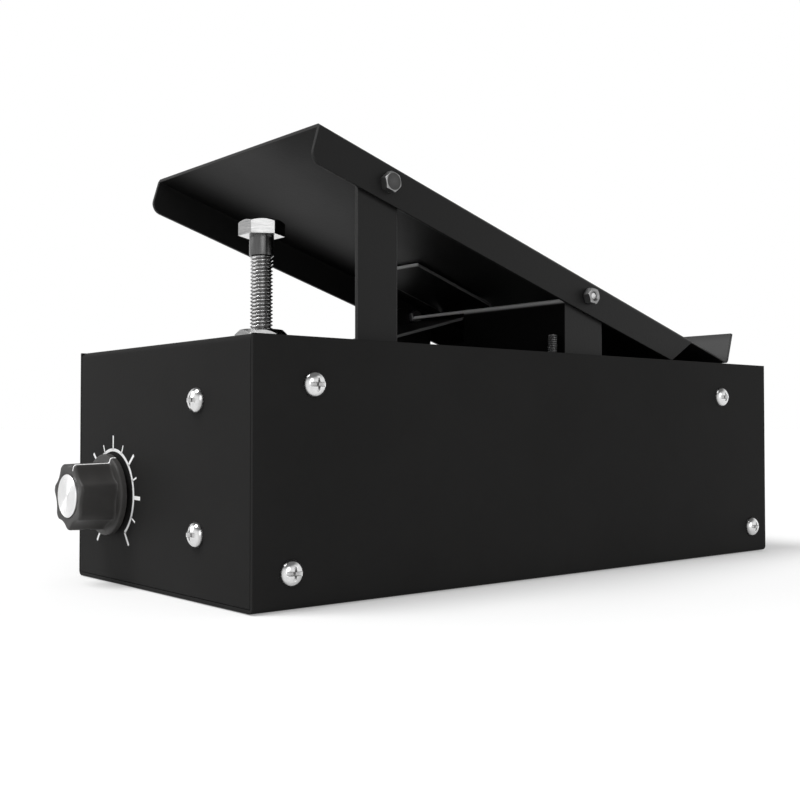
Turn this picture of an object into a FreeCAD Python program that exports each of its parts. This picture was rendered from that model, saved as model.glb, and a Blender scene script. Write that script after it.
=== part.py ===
import FreeCAD, Part
import math
import os
import Sketcher

# Foot switch: a bent sheet-metal box, an inclined tray on a rear pivot, and the mechanism it works.
# Millimetres. The origin is the centre of the underside, +Z is up, -Y is the toe end with the dial,
# and +X is the side on which the push leg stands.

Vector = FreeCAD.Vector
QUARTER = 90.0
doc = FreeCAD.newDocument("foot_switch")

SIZES = [
    ("box_width", "115.0", "outside width of the housing"),
    ("box_length", "262.5", "outside length of the housing"),
    ("box_height", "80.0", "outside height of the housing"),
    ("sheet", "1.2", "thickness of the housing and tray sheet"),
    ("bend_inner", "0.6", "inside radius of a bend in that sheet"),
    ("cover_fit", "0.2", "gap a side between the cover and the base shell"),
    ("seat_fit", "0.02", "radial clearance of pieces seated in one another"),
    ("cut_spare", "1.0", "how far a cut runs past the face it opens"),
    ("flange_deep", "20.0", "depth of the cover's flanges at the front and top"),
    ("flange_rear", "16.0", "depth of the cover's flanges at the rear"),
    ("front_low_back", "13.1", "distance from the front face to the lower front side screw"),
    ("front_high_back", "21.3", "distance from the front face to the upper front side screw"),
    ("rear_low_back", "10.9", "distance from the rear face to the lower rear side screw"),
    ("rear_high_back", "32.7", "distance from the rear face to the upper rear side screw"),
    ("side_low", "10.8", "height of the lower side screws"),
    ("side_high_drop", "14.2", "distance from the top to the upper side screws"),
    ("front_screw_side", "25.9", "distance of the front screws from the middle"),
    ("front_screw_low", "20.4", "height of the lower front screw"),
    ("front_screw_pitch", "41.0", "distance between the front screws"),
    ("dial_side", "30.8", "distance of the dial from the middle"),
    ("dial_height", "30.2", "height of the dial's axis"),
    ("screw_radius", "2.0", "radius of the M4 screws"),
    ("side_screw_long", "8.0", "length of the side, bracket and spring screws"),
    ("front_screw_long", "9.0", "length of the front screws"),
    ("screw_fit", "0.1", "radial clearance of their holes"),
    ("pan_radius", "4.0", "radius of a pan head"),
    ("pan_height", "2.6", "height of a pan head"),
    ("pan_crown", "0.55", "share of a pan head's radius that is flat"),
    ("pan_shoulder", "0.9", "share of its radius at the shoulder"),
    ("pan_shoulder_up", "0.68", "share of its height at the shoulder"),
    ("pan_rim_up", "0.25", "share of its height that is upright at the rim"),
    ("small_hex", "7.0", "across flats of an M4 nut"),
    ("small_nut", "3.2", "height of an M4 nut"),
    ("front_head", "2.8", "height of the front pivot bolt's head"),
    ("front_pin", "1.75", "radius of the front pivot bolt"),
    ("front_hex", "6.0", "across flats of its head and nut"),
    ("rear_pin", "1.5", "radius of the rear pivot bolts"),
    ("rear_hex", "5.5", "across flats of their heads and nuts"),
    ("rear_head", "2.0", "height of their heads"),
    ("rear_sunk", "0.6", "depth of their ends inside their nuts"),
    ("thread_spare", "1.0", "length of thread that stands out of a nut"),
    ("nut_gap", "0.2", "gap between a pivot's nut and the piece that turns under it"),
    ("tray_in", "6.0", "distance a side from the box's side to the tray's"),
    ("toe_back", "27.75", "distance from the box's front face to the tray's front edge"),
    ("heel_back", "18.2", "distance from the box's rear face to the tray's rear end"),
    ("heel_gap", "0.4", "gap between the box and the tray's heel and flanges"),
    ("tray_tilt", "16.64", "slope of the tray at rest, in degrees"),
    ("tray_flange", "12.5", "depth of the tray's side flanges"),
    ("tray_lip", "12.4", "height of the heel lip"),
    ("tray_corner", "4.0", "radius of the flanges' lower front corners"),
    ("tray_bend", "1.5", "radius of the tray's long edges"),
    ("flange_taper", "10.5", "length of the flanges' slanted end"),
    ("pivot_depth", "6.3", "depth of both pivots below the tray's top"),
    ("front_pivot_run", "30.1", "place of the front pivot along the slope"),
    ("rear_pivot_run", "132.0", "place of the rear pivot along the slope"),
    ("press_angle", "7.3", "how far the tray turns down, in degrees"),
    ("side_fit", "0.3", "gap a side between the tray and what it straddles"),
    ("run_fit", "0.06", "radial clearance of a running fit"),
    ("leg_thick", "1.2", "thickness of the push leg"),
    ("leg_ahead", "11.5", "width of the push leg ahead of its pivot"),
    ("leg_behind", "4.85", "width of the push leg behind its pivot"),
    ("leg_above", "3.4", "height of the push leg above its pivot"),
    ("leg_below", "7.0", "length of the push leg below its lower pin"),
    ("leg_round_front", "6.5", "radius of the push leg's front corners"),
    ("leg_round_rear", "4.45", "radius of the push leg's rear corners"),
    ("slot_margin", "1.0", "gap round the push leg in its slot"),
    ("link_radius", "2.5", "radius of the pin between the push leg and the lever"),
    ("link_shoulder", "4.0", "radius of that pin's shoulder"),
    ("clip_radius", "4.6", "outside radius of its retaining clip"),
    ("clip_thick", "0.8", "thickness of that clip"),
    ("pin_head", "1.2", "thickness of the pin's head behind the lever"),
    ("pin_spare", "0.6", "length of the pin beyond its clip"),
    ("link_depth", "9.56", "depth of the push leg's lower pin below the lid"),
    ("bracket_thick", "1.5", "thickness of the rear bracket"),
    ("bracket_ahead", "11.8", "width of the bracket's legs ahead of the pivot"),
    ("bracket_behind", "9.7", "width of the bracket's legs behind the pivot"),
    ("bracket_gap", "0.34", "gap between the bracket's legs and the tray at rest"),
    ("bracket_foot", "15.0", "width of the bracket's feet"),
    ("bracket_corner", "6.0", "radius of the legs' upper corners"),
    ("foot_screw_in", "8.25", "distance of the feet's screws from the legs' outer faces"),
    ("foot_screw_ahead", "3.5", "distance of the feet's front screws ahead of the pivot"),
    ("foot_screw_behind", "5.0", "distance of the feet's rear screws behind the pivot"),
    ("shelf_drop", "1.26", "depth of the bracket's shelf below the pivot"),
    ("shelf_depth", "4.8", "depth of the shelf"),
    ("shelf_bend", "1.4", "radius of the shelf's front edge"),
    ("shelf_band", "12.0", "height of the web above its window"),
    ("shelf_left", "35.5", "distance of the shelf's free end from the middle"),
    ("spring_thick", "1.1", "thickness of the leaf spring"),
    ("spring_wide", "30.5", "width of the leaf spring"),
    ("spring_fold", "1.6", "radius of the fold's centre line"),
    ("spring_foot", "14.3", "length of the spring's foot"),
    ("spring_toe_back", "33.5", "distance of the spring's toe behind the tray's front edge"),
    ("foot_screw_toe", "6.5", "distance of the foot's screws behind its toe"),
    ("spring_rise", "18.0", "slope of the upper leaf in degrees"),
    ("spring_reach", "42.0", "length of the upper leaf"),
    ("spring_corner", "4.0", "radius of the bend between the foot and the lower leaf"),
    ("bolt_radius", "4.0", "radius of the stop bolt"),
    ("bolt_hex", "14.0", "across flats of the stop bolt's head"),
    ("bolt_head", "5.3", "height of the stop bolt's head"),
    ("stop_gap", "0.11", "gap between the stop bolt and the tray pressed down"),
    ("bolt_long", "60.0", "length of the stop bolt under its head"),
    ("bolt_back", "12.4", "distance of the stop bolt behind the tray's front edge"),
    ("stop_nut_hex", "16.0", "across flats of the stop bolt's lock nut"),
    ("stop_nut_high", "6.8", "height of that nut"),
    ("stop_nut_drop", "2.0", "height of that nut's chamfer at its corners"),
    ("bolt_drop", "1.1", "height of the bolt head's chamfer at its corners"),
    ("hex_rim", "0.4", "width from those flats to the flat top"),
    ("weld_nut_high", "6.5", "height of the weld nut under the lid"),
    ("rest_in", "11.2", "distance of the rest-stop screw from the box's side"),
    ("rest_ahead", "13.97", "distance of that screw ahead of the rear pivot"),
    ("rest_above", "7.6", "length of that screw above the box"),
    ("rest_gap", "0.3", "gap between that screw and the lever"),
    ("lever_thick", "3.0", "thickness of the sector lever"),
    ("lever_half", "6.0", "half the depth of the lever's arm"),
    ("lever_hub", "9.0", "radius of the lever's hub"),
    ("lever_bore", "3.0", "radius of the lever's pivot bolt"),
    ("lever_eye", "5.5", "radius of the lever's front eye"),
    ("lever_bolt_hex", "10.0", "across flats of the lever's pivot bolt and nut"),
    ("lever_nut", "5.0", "height of that nut"),
    ("lever_bolt_head", "4.0", "height of that bolt's head"),
    ("spacer_radius", "5.0", "outside radius of the spacer on that bolt"),
    ("nose_ahead", "31.1", "distance of the trip nose ahead of the lever's pivot"),
    ("nose_gap", "0.2976", "gap between the trip nose and the microswitch leaf"),
    ("nose_radius", "3.0", "radius of the trip nose"),
    ("relief_ahead", "13.6", "distance of the relief over the leaf's hinge ahead of the pivot"),
    ("relief_low", "6.6", "distance of that relief's centre below the pivot"),
    ("relief_radius", "6.0", "radius of that relief"),
    ("gear_module", "1.0", "module of the sector and the pinion"),
    ("sector_teeth", "84", "teeth of the full sector gear"),
    ("sector_cut", "9", "teeth that the sector has"),
    ("pinion_teeth", "12", "teeth of the pinion"),
    ("gear_pressure", "25.0", "pressure angle in degrees"),
    ("gear_root", "1.2", "depth of a tooth below the pitch circle, in modules"),
    ("gear_tip", "0.95", "height of a tooth above the pitch circle, in modules"),
    ("gear_backlash", "0.06", "thinning of each side of a tooth"),
    ("pinion_wall", "1.5", "wall of the pinion's hub"),
    ("pinion_hub", "4.0", "length of that hub beyond the teeth"),
    ("plate_thick", "1.5", "thickness of the mechanism bracket"),
    ("plate_gap", "4.0", "gap between that bracket and the lever"),
    ("plate_foot", "16.5", "width of that bracket's foot"),
    ("plate_margin", "12.0", "material round the holes of that bracket"),
    ("plate_corner", "5.0", "radius of that bracket's upper corners"),
    ("plate_ahead", "2.0", "length of that bracket ahead of the microswitch"),
    ("stud_in", "10.5", "distance of the studs from the plate's outer face"),
    ("stud_ahead", "24.0", "distance of the front stud ahead of the lever's pivot"),
    ("stud_behind", "12.0", "distance of the middle stud behind it"),
    ("stud_flange", "3.0", "radius of a clinch stud's flange"),
    ("pot_radius", "8.5", "radius of a potentiometer's body"),
    ("pot_deep", "9.0", "depth of a potentiometer's body"),
    ("pot_bush", "3.5", "radius of a potentiometer's threaded bush"),
    ("pot_bush_long", "5.0", "length of that bush"),
    ("pot_shaft", "3.0", "radius of a potentiometer's shaft"),
    ("pot_nut", "10.0", "across flats of a potentiometer's nut"),
    ("pot_nut_high", "2.0", "height of that nut"),
    ("pot_socket", "3.0", "depth of the shaft's bore in the body"),
    ("pot_end_gap", "0.2", "gap under the shaft in that bore"),
    ("lug_half", "1.0", "half the width of a solder lug"),
    ("lug_thick", "0.8", "thickness of a lug"),
    ("lug_pitch", "5.0", "distance between the lugs"),
    ("lug_long", "5.0", "length of a lug beyond the body"),
    ("lug_up", "2.0", "distance of the lugs from the body's back"),
    ("switch_long", "27.8", "length of the microswitch"),
    ("switch_high", "15.9", "height of the microswitch"),
    ("switch_wide", "10.3", "width of the microswitch"),
    ("leaf_back", "11.6", "distance of the microswitch leaf's hinge ahead of the lever's pivot"),
    ("leaf_low", "4.0", "distance of that hinge below the lever's pivot"),
    ("leaf_long", "23.5", "length of the leaf"),
    ("leaf_slope", "11.4", "slope of the leaf at rest in degrees"),
    ("leaf_thick", "0.4", "thickness of the leaf"),
    ("leaf_wide", "5.0", "width of the leaf"),
    ("leaf_barrel", "0.7", "radius of the leaf's hinge barrel"),
    ("switch_screw", "1.5", "radius of the microswitch's screws"),
    ("switch_pitch", "22.2", "distance between those screws"),
    ("switch_hole_fit", "0.1", "radial clearance of their holes"),
    ("switch_screw_up", "3.0", "height of those screws above the microswitch's underside"),
    ("switch_head", "2.7", "radius of their heads"),
    ("switch_head_high", "1.62", "height of their heads"),
    ("switch_head_top", "0.7", "share of their radius that is flat on top"),
    ("switch_back", "1.5", "distance of the microswitch's rear behind the leaf's hinge"),
    ("switch_drop", "1.0", "distance of its top below that hinge"),
    ("tab_pitch", "9.73", "distance between the tabs"),
    ("tab_half", "2.0", "half the width of a tab"),
    ("tab_long", "6.0", "length of a tab below the microswitch"),
    ("plunger_radius", "1.25", "radius of the plunger"),
    ("plunger_down", "3.0", "length of the plunger inside the microswitch"),
    ("plunger_round", "0.8", "chamfer of the plunger's top"),
    ("plunger_spare", "1.5", "depth of its well below the plunger"),
    ("plunger_ahead", "4.5", "distance of the plunger ahead of the leaf's hinge"),
    ("knob_skirt", "13.8", "radius of the knob's skirt"),
    ("knob_radius", "11.5", "radius over the knob's ridges"),
    ("knob_gap", "1.5", "gap between the knob and the front face"),
    ("skirt_thick", "2.2", "thickness of the skirt"),
    ("knob_long", "16.2", "distance of the knob's face from the front face"),
    ("knob_flutes", "7", "number of flutes"),
    ("flute_radius", "9.0", "radius of a flute"),
    ("flute_deep", "1.5", "depth of a flute"),
    ("cap_radius", "7.25", "radius of the knob's cap"),
    ("cap_proud", "0.5", "height of the cap above the knob's face"),
    ("cap_deep", "1.0", "depth of the cap's recess"),
    ("cap_fit", "0.05", "radial gap round the cap"),
    ("cap_edge", "0.3", "chamfer of the cap"),
    ("knob_edge", "0.8", "chamfer of the knob's face"),
    ("skirt_edge", "0.7", "chamfer of the skirt"),
    ("knob_hollow", "1.2", "gap between the potentiometer's nut and the knob"),
    ("knob_bush_gap", "0.4", "gap between the potentiometer's bush and the knob"),
    ("shaft_short", "0.3", "gap between a shaft's end and the cap"),
    ("grub_fit", "0.05", "radial clearance of the knob's set screw"),
    ("grub_gap", "0.1", "gap between the set screw and the shaft"),
    ("grub_in", "0.5", "distance of the set screw's end inside the flute"),
    ("pointer_angle", "24.0", "angle of the pointer from twelve o'clock at rest"),
    ("gland_height", "24.0", "height of the cable gland's axis"),
    ("gland_bore", "3.5", "radius of the cable opening"),
    ("gland_thread", "7.0", "radius of the gland's thread"),
    ("gland_hex", "19.0", "across flats of the gland"),
    ("gland_collar", "5.0", "length of the gland's hexagon"),
    ("gland_inside", "8.0", "length of the gland's thread inside the box"),
    ("gland_cap", "9.0", "length of the gland's cap"),
    ("gland_dome", "3.0", "length of the cap's dome"),
    ("gland_lid", "2.4", "thickness of the cap's end"),
    ("gland_mouth", "0.6", "widening of the cap's mouth round the cable opening"),
    ("gland_lead", "1.2", "width of the flat round that mouth"),
    ("gland_seat", "1.0", "wall of the seal with its clearance"),
    ("gland_gap", "0.3", "gap between the cap and the hexagon"),
    ("gland_short", "0.8", "distance from the seal's end to the cap's end"),
    ("gland_nut_high", "4.0", "height of the gland's lock nut"),
    ("strip_wide", "13.0", "width of the terminal strip"),
    ("strip_deep", "9.0", "depth of the terminal strip"),
    ("strip_long", "52.0", "length of the terminal strip"),
    ("strip_ways", "5", "number of terminals"),
    ("strip_wall", "1.2", "wall between and beside the terminals"),
    ("strip_cell", "5.4", "depth of a terminal's cell"),
    ("strip_gap", "0.6", "distance from a screw's head circle to the first cell"),
]


class Size:
    """A number together with the sheet expression it comes from, so that arithmetic keeps both."""

    def __init__(self, value, text):
        self.value = value
        self.text = text

    def combine(self, other, sign, result):
        return Size(result, "(%s %s %s)" % (self.text, sign, other.text))

    def __add__(self, other):
        other = sized(other)
        return self.combine(other, "+", self.value + other.value)

    def __sub__(self, other):
        other = sized(other)
        return self.combine(other, "-", self.value - other.value)

    def __mul__(self, other):
        other = sized(other)
        return self.combine(other, "*", self.value * other.value)

    def __truediv__(self, other):
        other = sized(other)
        return self.combine(other, "/", self.value / other.value)

    def __radd__(self, other):
        return sized(other) + self

    def __rsub__(self, other):
        return sized(other) - self

    def __rmul__(self, other):
        return sized(other) * self

    def __neg__(self):
        return Size(-self.value, "(-%s)" % self.text)


def sized(number):
    """Wrap a plain number so that it can stand beside sizes."""
    if isinstance(number, Size):
        return number
    return Size(float(number), repr(float(number)))


def sine(angle):
    """Sine of an angle in degrees."""
    angle = sized(angle)
    return Size(math.sin(math.radians(angle.value)), "sin(%s)" % angle.text)


def cosine(angle):
    """Cosine of an angle in degrees."""
    angle = sized(angle)
    return Size(math.cos(math.radians(angle.value)), "cos(%s)" % angle.text)


class Sizes:
    """The sheet's cells as named sizes."""


sheet = doc.addObject("Spreadsheet::Sheet", "sizes")
S = Sizes()
for row, (alias, number, meaning) in enumerate(SIZES, start=1):
    sheet.set("A%d" % row, meaning)
    sheet.set("B%d" % row, number)
    sheet.setAlias("B%d" % row, alias)
    setattr(S, alias, Size(float(number), "sizes." + alias))
doc.recompute()


# Places worked out from the sizes

bend = S.bend_inner + S.sheet
half_width = S.box_width / 2
half_length = S.box_length / 2
inside_top = S.box_height - S.sheet
screw_hole = S.screw_radius + S.screw_fit
cover_width = S.box_width - 2 * S.sheet - 2 * S.cover_fit
slope_sine = sine(S.tray_tilt)
slope_cosine = cosine(S.tray_tilt)
tray_width = S.box_width - 2 * S.tray_in
tray_front = half_length - S.toe_back
tray_run = (half_length - S.heel_back + tray_front) / slope_cosine
tray_rise = S.heel_gap + tray_run * slope_sine + S.sheet * slope_cosine
tray_top = S.box_height + tray_rise
flange_end = (tray_rise - S.heel_gap - S.tray_flange * slope_cosine) / slope_sine


def on_tray(run, depth):
    """Height and length coordinate of a point at a run along the tray and a depth below its top."""
    along = run * slope_cosine - depth * slope_sine - tray_front
    height = tray_top - run * slope_sine - depth * slope_cosine
    return along, height


rear_pivot_y, rear_pivot_z = on_tray(S.rear_pivot_run, S.pivot_depth)
front_pivot_y, front_pivot_z = on_tray(S.front_pivot_run, S.pivot_depth)
link_z = inside_top - S.link_depth
leg_span = front_pivot_z - link_z
lever_pivot_z = rear_pivot_z - leg_span
arm_rise = (link_z - lever_pivot_z) / (rear_pivot_y - front_pivot_y)
tray_inside = tray_width / 2 - S.sheet
straddle = tray_inside - S.side_fit
rest_x = half_width - S.rest_in
lever_x = rest_x - S.lever_thick / 2
plate_x = lever_x - S.plate_gap
sector_radius = S.gear_module * S.sector_teeth / 2
pinion_radius = S.gear_module * S.pinion_teeth / 2
centre_distance = sector_radius + pinion_radius
pot_y = rear_pivot_y + centre_distance * slope_cosine
pot_z = lever_pivot_z - centre_distance * slope_sine
hinge_y = rear_pivot_y - S.leaf_back
hinge_z = lever_pivot_z - S.leaf_low
switch_top = hinge_z - S.switch_drop
switch_rear = hinge_y + S.switch_back
switch_screw_z = switch_top - S.switch_high + S.switch_screw_up
rest_y = rear_pivot_y - S.rest_ahead
bolt_y = S.bolt_back - tray_front
shelf_top = rear_pivot_z - S.shelf_drop
leg_room = S.pivot_depth - S.sheet - S.bracket_gap - S.bracket_corner
leg_corner_y = (S.bracket_behind - S.bracket_corner) * slope_sine
bracket_top_z = rear_pivot_z + S.bracket_corner + (leg_room - leg_corner_y) / slope_cosine
dial_y = -half_length


# Ways of drawing

def new_body(name):
    """A body whose label names its file."""
    body = doc.addObject("PartDesign::Body", name)
    body.Label = name
    return body


def plane_of(body, role):
    """One of the body's own origin planes or axes."""
    return [item for item in body.Origin.OriginFeatures if item.Role == role][0]


def new_sketch(body, name, role, offset=0.0):
    """A sketch on an origin plane of the body, moved along the plane's normal."""
    sketch = body.newObject("Sketcher::SketchObject", name)
    sketch.AttachmentSupport = [(plane_of(body, role), "")]
    sketch.MapMode = "FlatFace"
    offset = sized(offset)
    if offset.value:
        sketch.AttachmentOffset = FreeCAD.Placement(Vector(0, 0, offset.value), FreeCAD.Rotation())
        sketch.setExpression("AttachmentOffset.Base.z", offset.text)
    return sketch


def bind(sketch, kind, *where, size):
    """Add a dimension to a sketch and tie it to the sheet."""
    index = sketch.addConstraint(Sketcher.Constraint(kind, *where, size.value))
    sketch.setExpression("Constraints[%d]" % index, size.text)


def hold(sketch, edge, end, across, up):
    """Hold a point of a sketch at two distances from its origin."""
    for kind, axis, size in (("DistanceX", -2, sized(across)), ("DistanceY", -1, sized(up))):
        if size.text == "0.0":
            sketch.addConstraint(Sketcher.Constraint("PointOnObject", edge, end, axis))
        else:
            bind(sketch, kind, -1, 1, edge, end, size=size)


def outline(sketch, points):
    """A closed outline of straight lines through the points."""
    points = [(sized(across), sized(up)) for across, up in points]
    corners = [Vector(across.value, up.value, 0) for across, up in points]
    first = sketch.GeometryCount
    count = len(points)
    for index in range(count):
        sketch.addGeometry(Part.LineSegment(corners[index], corners[(index + 1) % count]), False)
    for index in range(count):
        following = first + (index + 1) % count
        sketch.addConstraint(Sketcher.Constraint("Coincident", first + index, 2, following, 1))
    for index, (across, up) in enumerate(points):
        hold(sketch, first + index, 1, across, up)


def rectangle(sketch, left, low, right, high):
    """A rectangle between two corners."""
    outline(sketch, [(left, low), (right, low), (right, high), (left, high)])


def circle(sketch, across, up, radius):
    """A circle at a place."""
    across, up, radius = sized(across), sized(up), sized(radius)
    shape = Part.Circle(Vector(across.value, up.value, 0), Vector(0, 0, 1), radius.value)
    edge = sketch.addGeometry(shape, False)
    hold(sketch, edge, 3, across, up)
    bind(sketch, "Radius", edge, size=radius)


def hexagon(sketch, flats):
    """A hexagon about the sketch's origin, with a corner to the right."""
    corner = flats / math.sqrt(3)
    points = [(corner, 0), (corner / 2, flats / 2), (-(corner / 2), flats / 2),
              (-corner, 0), (-(corner / 2), -(flats / 2)), (corner / 2, -(flats / 2))]
    outline(sketch, points)


def pad(sketch, length, reverse=False):
    """Push a sketch out along its normal, or against it."""
    body = sketch.getParentGeoFeatureGroup()
    feature = body.newObject("PartDesign::Pad", sketch.Name + "_pad")
    feature.Profile = sketch
    length = sized(length)
    feature.Length = length.value
    feature.setExpression("Length", length.text)
    feature.Reversed = reverse
    doc.recompute()
    return feature


def pocket(sketch, length=None, reverse=False, both=False):
    """Cut a sketch into the body, against its normal unless reversed; right through without a length."""
    body = sketch.getParentGeoFeatureGroup()
    before = body.Shape.Volume
    feature = body.newObject("PartDesign::Pocket", sketch.Name + "_cut")
    feature.Profile = sketch
    if length is None:
        feature.Type = "ThroughAll"
    else:
        length = sized(length)
        feature.Length = length.value
        feature.setExpression("Length", length.text)
    feature.Reversed = reverse
    if both:
        feature.SideType = "Symmetric"
    doc.recompute()
    if body.Shape.Volume > before - 1e-6:
        raise RuntimeError(sketch.Name + " cuts nothing")
    return feature


def revolve(sketch, axis="V_Axis"):
    """Turn a sketch about one of its axes."""
    body = sketch.getParentGeoFeatureGroup()
    feature = body.newObject("PartDesign::Revolution", sketch.Name + "_turn")
    feature.Profile = sketch
    feature.ReferenceAxis = (sketch, [axis])
    feature.Angle = 360.0
    doc.recompute()
    return feature


def sound(feature):
    """Stop where a feature has failed."""
    doc.recompute()
    if "Invalid" in feature.State or "Error" in feature.State:
        raise RuntimeError(feature.Name + " failed")
    return feature


def soften(body, radius, wanted, kind="Fillet"):
    """Round or chamfer the edges of the body for which wanted(edge) is true."""
    tip = body.Tip
    names = ["Edge%d" % (index + 1) for index, edge in enumerate(tip.Shape.Edges) if wanted(edge)]
    feature = body.newObject("PartDesign::" + kind, body.Name + "_soft")
    feature.Base = (tip, names)
    radius = sized(radius)
    name = "Radius" if kind == "Fillet" else "Size"
    setattr(feature, name, radius.value)
    feature.setExpression(name, radius.text)
    return sound(feature)


def runs_along(edge, axis):
    """Whether a straight edge runs along an axis vector."""
    if edge.Curve.TypeId != "Part::GeomLine":
        return False
    return abs(abs(edge.tangentAt(edge.FirstParameter).dot(axis)) - 1) < 1e-6


def near(edge, **place):
    """Whether an edge's middle lies at the given coordinates."""
    middle = edge.CenterOfMass
    return all(abs(getattr(middle, axis) - sized(value).value) < 1e-3 for axis, value in place.items())


X, Y, Z = Vector(1, 0, 0), Vector(0, 1, 0), Vector(0, 0, 1)


def placed(shape_object, name, spots):
    """A group of separate copies of one piece, each at its own place, in one named sub-part."""
    links = []
    for number, (origin, direction) in enumerate(spots):
        link = doc.addObject("App::Link", "%s_%d" % (name, number + 1))
        link.setLink(shape_object)
        origin = [sized(value) for value in origin]
        base = Vector(*[value.value for value in origin])
        link.Placement = FreeCAD.Placement(base, FreeCAD.Rotation(Z, direction))
        for axis, value in zip("xyz", origin):
            link.setExpression("Placement.Base." + axis, value.text)
        links.append(link)
    group = doc.addObject("Part::Compound", name)
    group.Label = name
    group.Links = links
    doc.recompute()
    return group


def place(piece, x, y, z, direction=None):
    """Set one piece down with its own Z axis along a direction."""
    spot = [sized(value) for value in (x, y, z)]
    turn = FreeCAD.Rotation(Z, direction) if direction else FreeCAD.Rotation()
    piece.Placement = FreeCAD.Placement(Vector(*[value.value for value in spot]), turn)
    for axis, value in zip("xyz", spot):
        piece.setExpression("Placement.Base." + axis, value.text)


NODES = []


def keep(piece):
    """Count a piece among those written out."""
    NODES.append(piece)
    return piece


# Fasteners, each drawn about its own Z axis with its bearing face at zero and its head above

def pan_screw(name, length):
    """A pan-head screw whose shank points down."""
    body = new_body(name)
    profile = new_sketch(body, name + "_profile", "XZ_Plane")
    crown = S.pan_radius * S.pan_crown
    shoulder = S.pan_radius * S.pan_shoulder
    outline(profile, [(0, S.pan_height), (crown, S.pan_height),
                      (shoulder, S.pan_height * S.pan_shoulder_up),
                      (S.pan_radius, S.pan_height * S.pan_rim_up),
                      (S.pan_radius, 0), (S.screw_radius, 0), (S.screw_radius, -sized(length)),
                      (0, -sized(length))])
    revolve(profile)
    return body


def hex_bolt(name, radius, length, flats, head):
    """A hex-head bolt whose shank points down."""
    body = new_body(name)
    top = new_sketch(body, name + "_head", "XY_Plane")
    hexagon(top, flats)
    pad(top, head)
    shank = new_sketch(body, name + "_shank", "XY_Plane")
    circle(shank, 0, 0, radius)
    pad(shank, length, reverse=True)
    return body


def hex_nut(name, bore, flats, height):
    """A hex nut that stands on its lower face."""
    body = new_body(name)
    ring = new_sketch(body, name + "_ring", "XY_Plane")
    hexagon(ring, flats)
    circle(ring, 0, 0, bore)
    pad(ring, height)
    return body


# Housing

def base_shell():
    """Bottom and both sides, bent from one sheet."""
    body = new_body("base_shell")
    channel = new_sketch(body, "shell_channel", "XZ_Plane", half_length)
    inner = half_width - S.sheet
    outline(channel, [(-half_width, 0), (half_width, 0), (half_width, S.box_height),
                      (inner, S.box_height), (inner, S.sheet), (-inner, S.sheet),
                      (-inner, S.box_height), (-half_width, S.box_height)])
    pad(channel, S.box_length, reverse=True)
    soften(body, bend, lambda edge: runs_along(edge, Y) and near(edge, z=0))
    soften(body, S.bend_inner, lambda edge: runs_along(edge, Y) and near(edge, z=S.sheet))
    holes = new_sketch(body, "shell_side_holes", "YZ_Plane")
    for along, height in side_screw_places():
        circle(holes, along, height, screw_hole)
    pocket(holes, both=True)
    floor = new_sketch(body, "shell_floor_holes", "XY_Plane")
    for across, along in floor_stud_places():
        circle(floor, across, along, S.stud_flange + S.seat_fit)
    pocket(floor, reverse=True)
    return body


def side_screw_places():
    """Length and height of the four screws on one side."""
    return [(S.front_high_back - half_length, S.box_height - S.side_high_drop),
            (S.front_low_back - half_length, S.side_low),
            (half_length - S.rear_high_back, S.box_height - S.side_high_drop),
            (half_length - S.rear_low_back, S.side_low)]


def floor_stud_places():
    """Width and length places of the studs that hold the mechanism bracket."""
    middle = plate_x - S.stud_in
    return [(middle, rear_pivot_y - S.stud_ahead), (middle, rear_pivot_y + S.stud_behind),
            (middle, pot_y)]


def foot_screw_places():
    """Width and length places of the screws in the spring's foot."""
    left = -S.shelf_left
    quarter = S.spring_wide / 4
    middle = S.spring_toe_back - tray_front + S.foot_screw_toe
    return [(left + quarter, middle), (left + quarter * 3, middle)]


def bracket_screw_places():
    """Width and length places of the four screws in the bracket's feet."""
    across = straddle - S.foot_screw_in
    spots = []
    for side in (-1, 1):
        for along in (rear_pivot_y - S.foot_screw_ahead, rear_pivot_y + S.foot_screw_behind):
            spots.append((side * across, along))
    return spots


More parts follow.
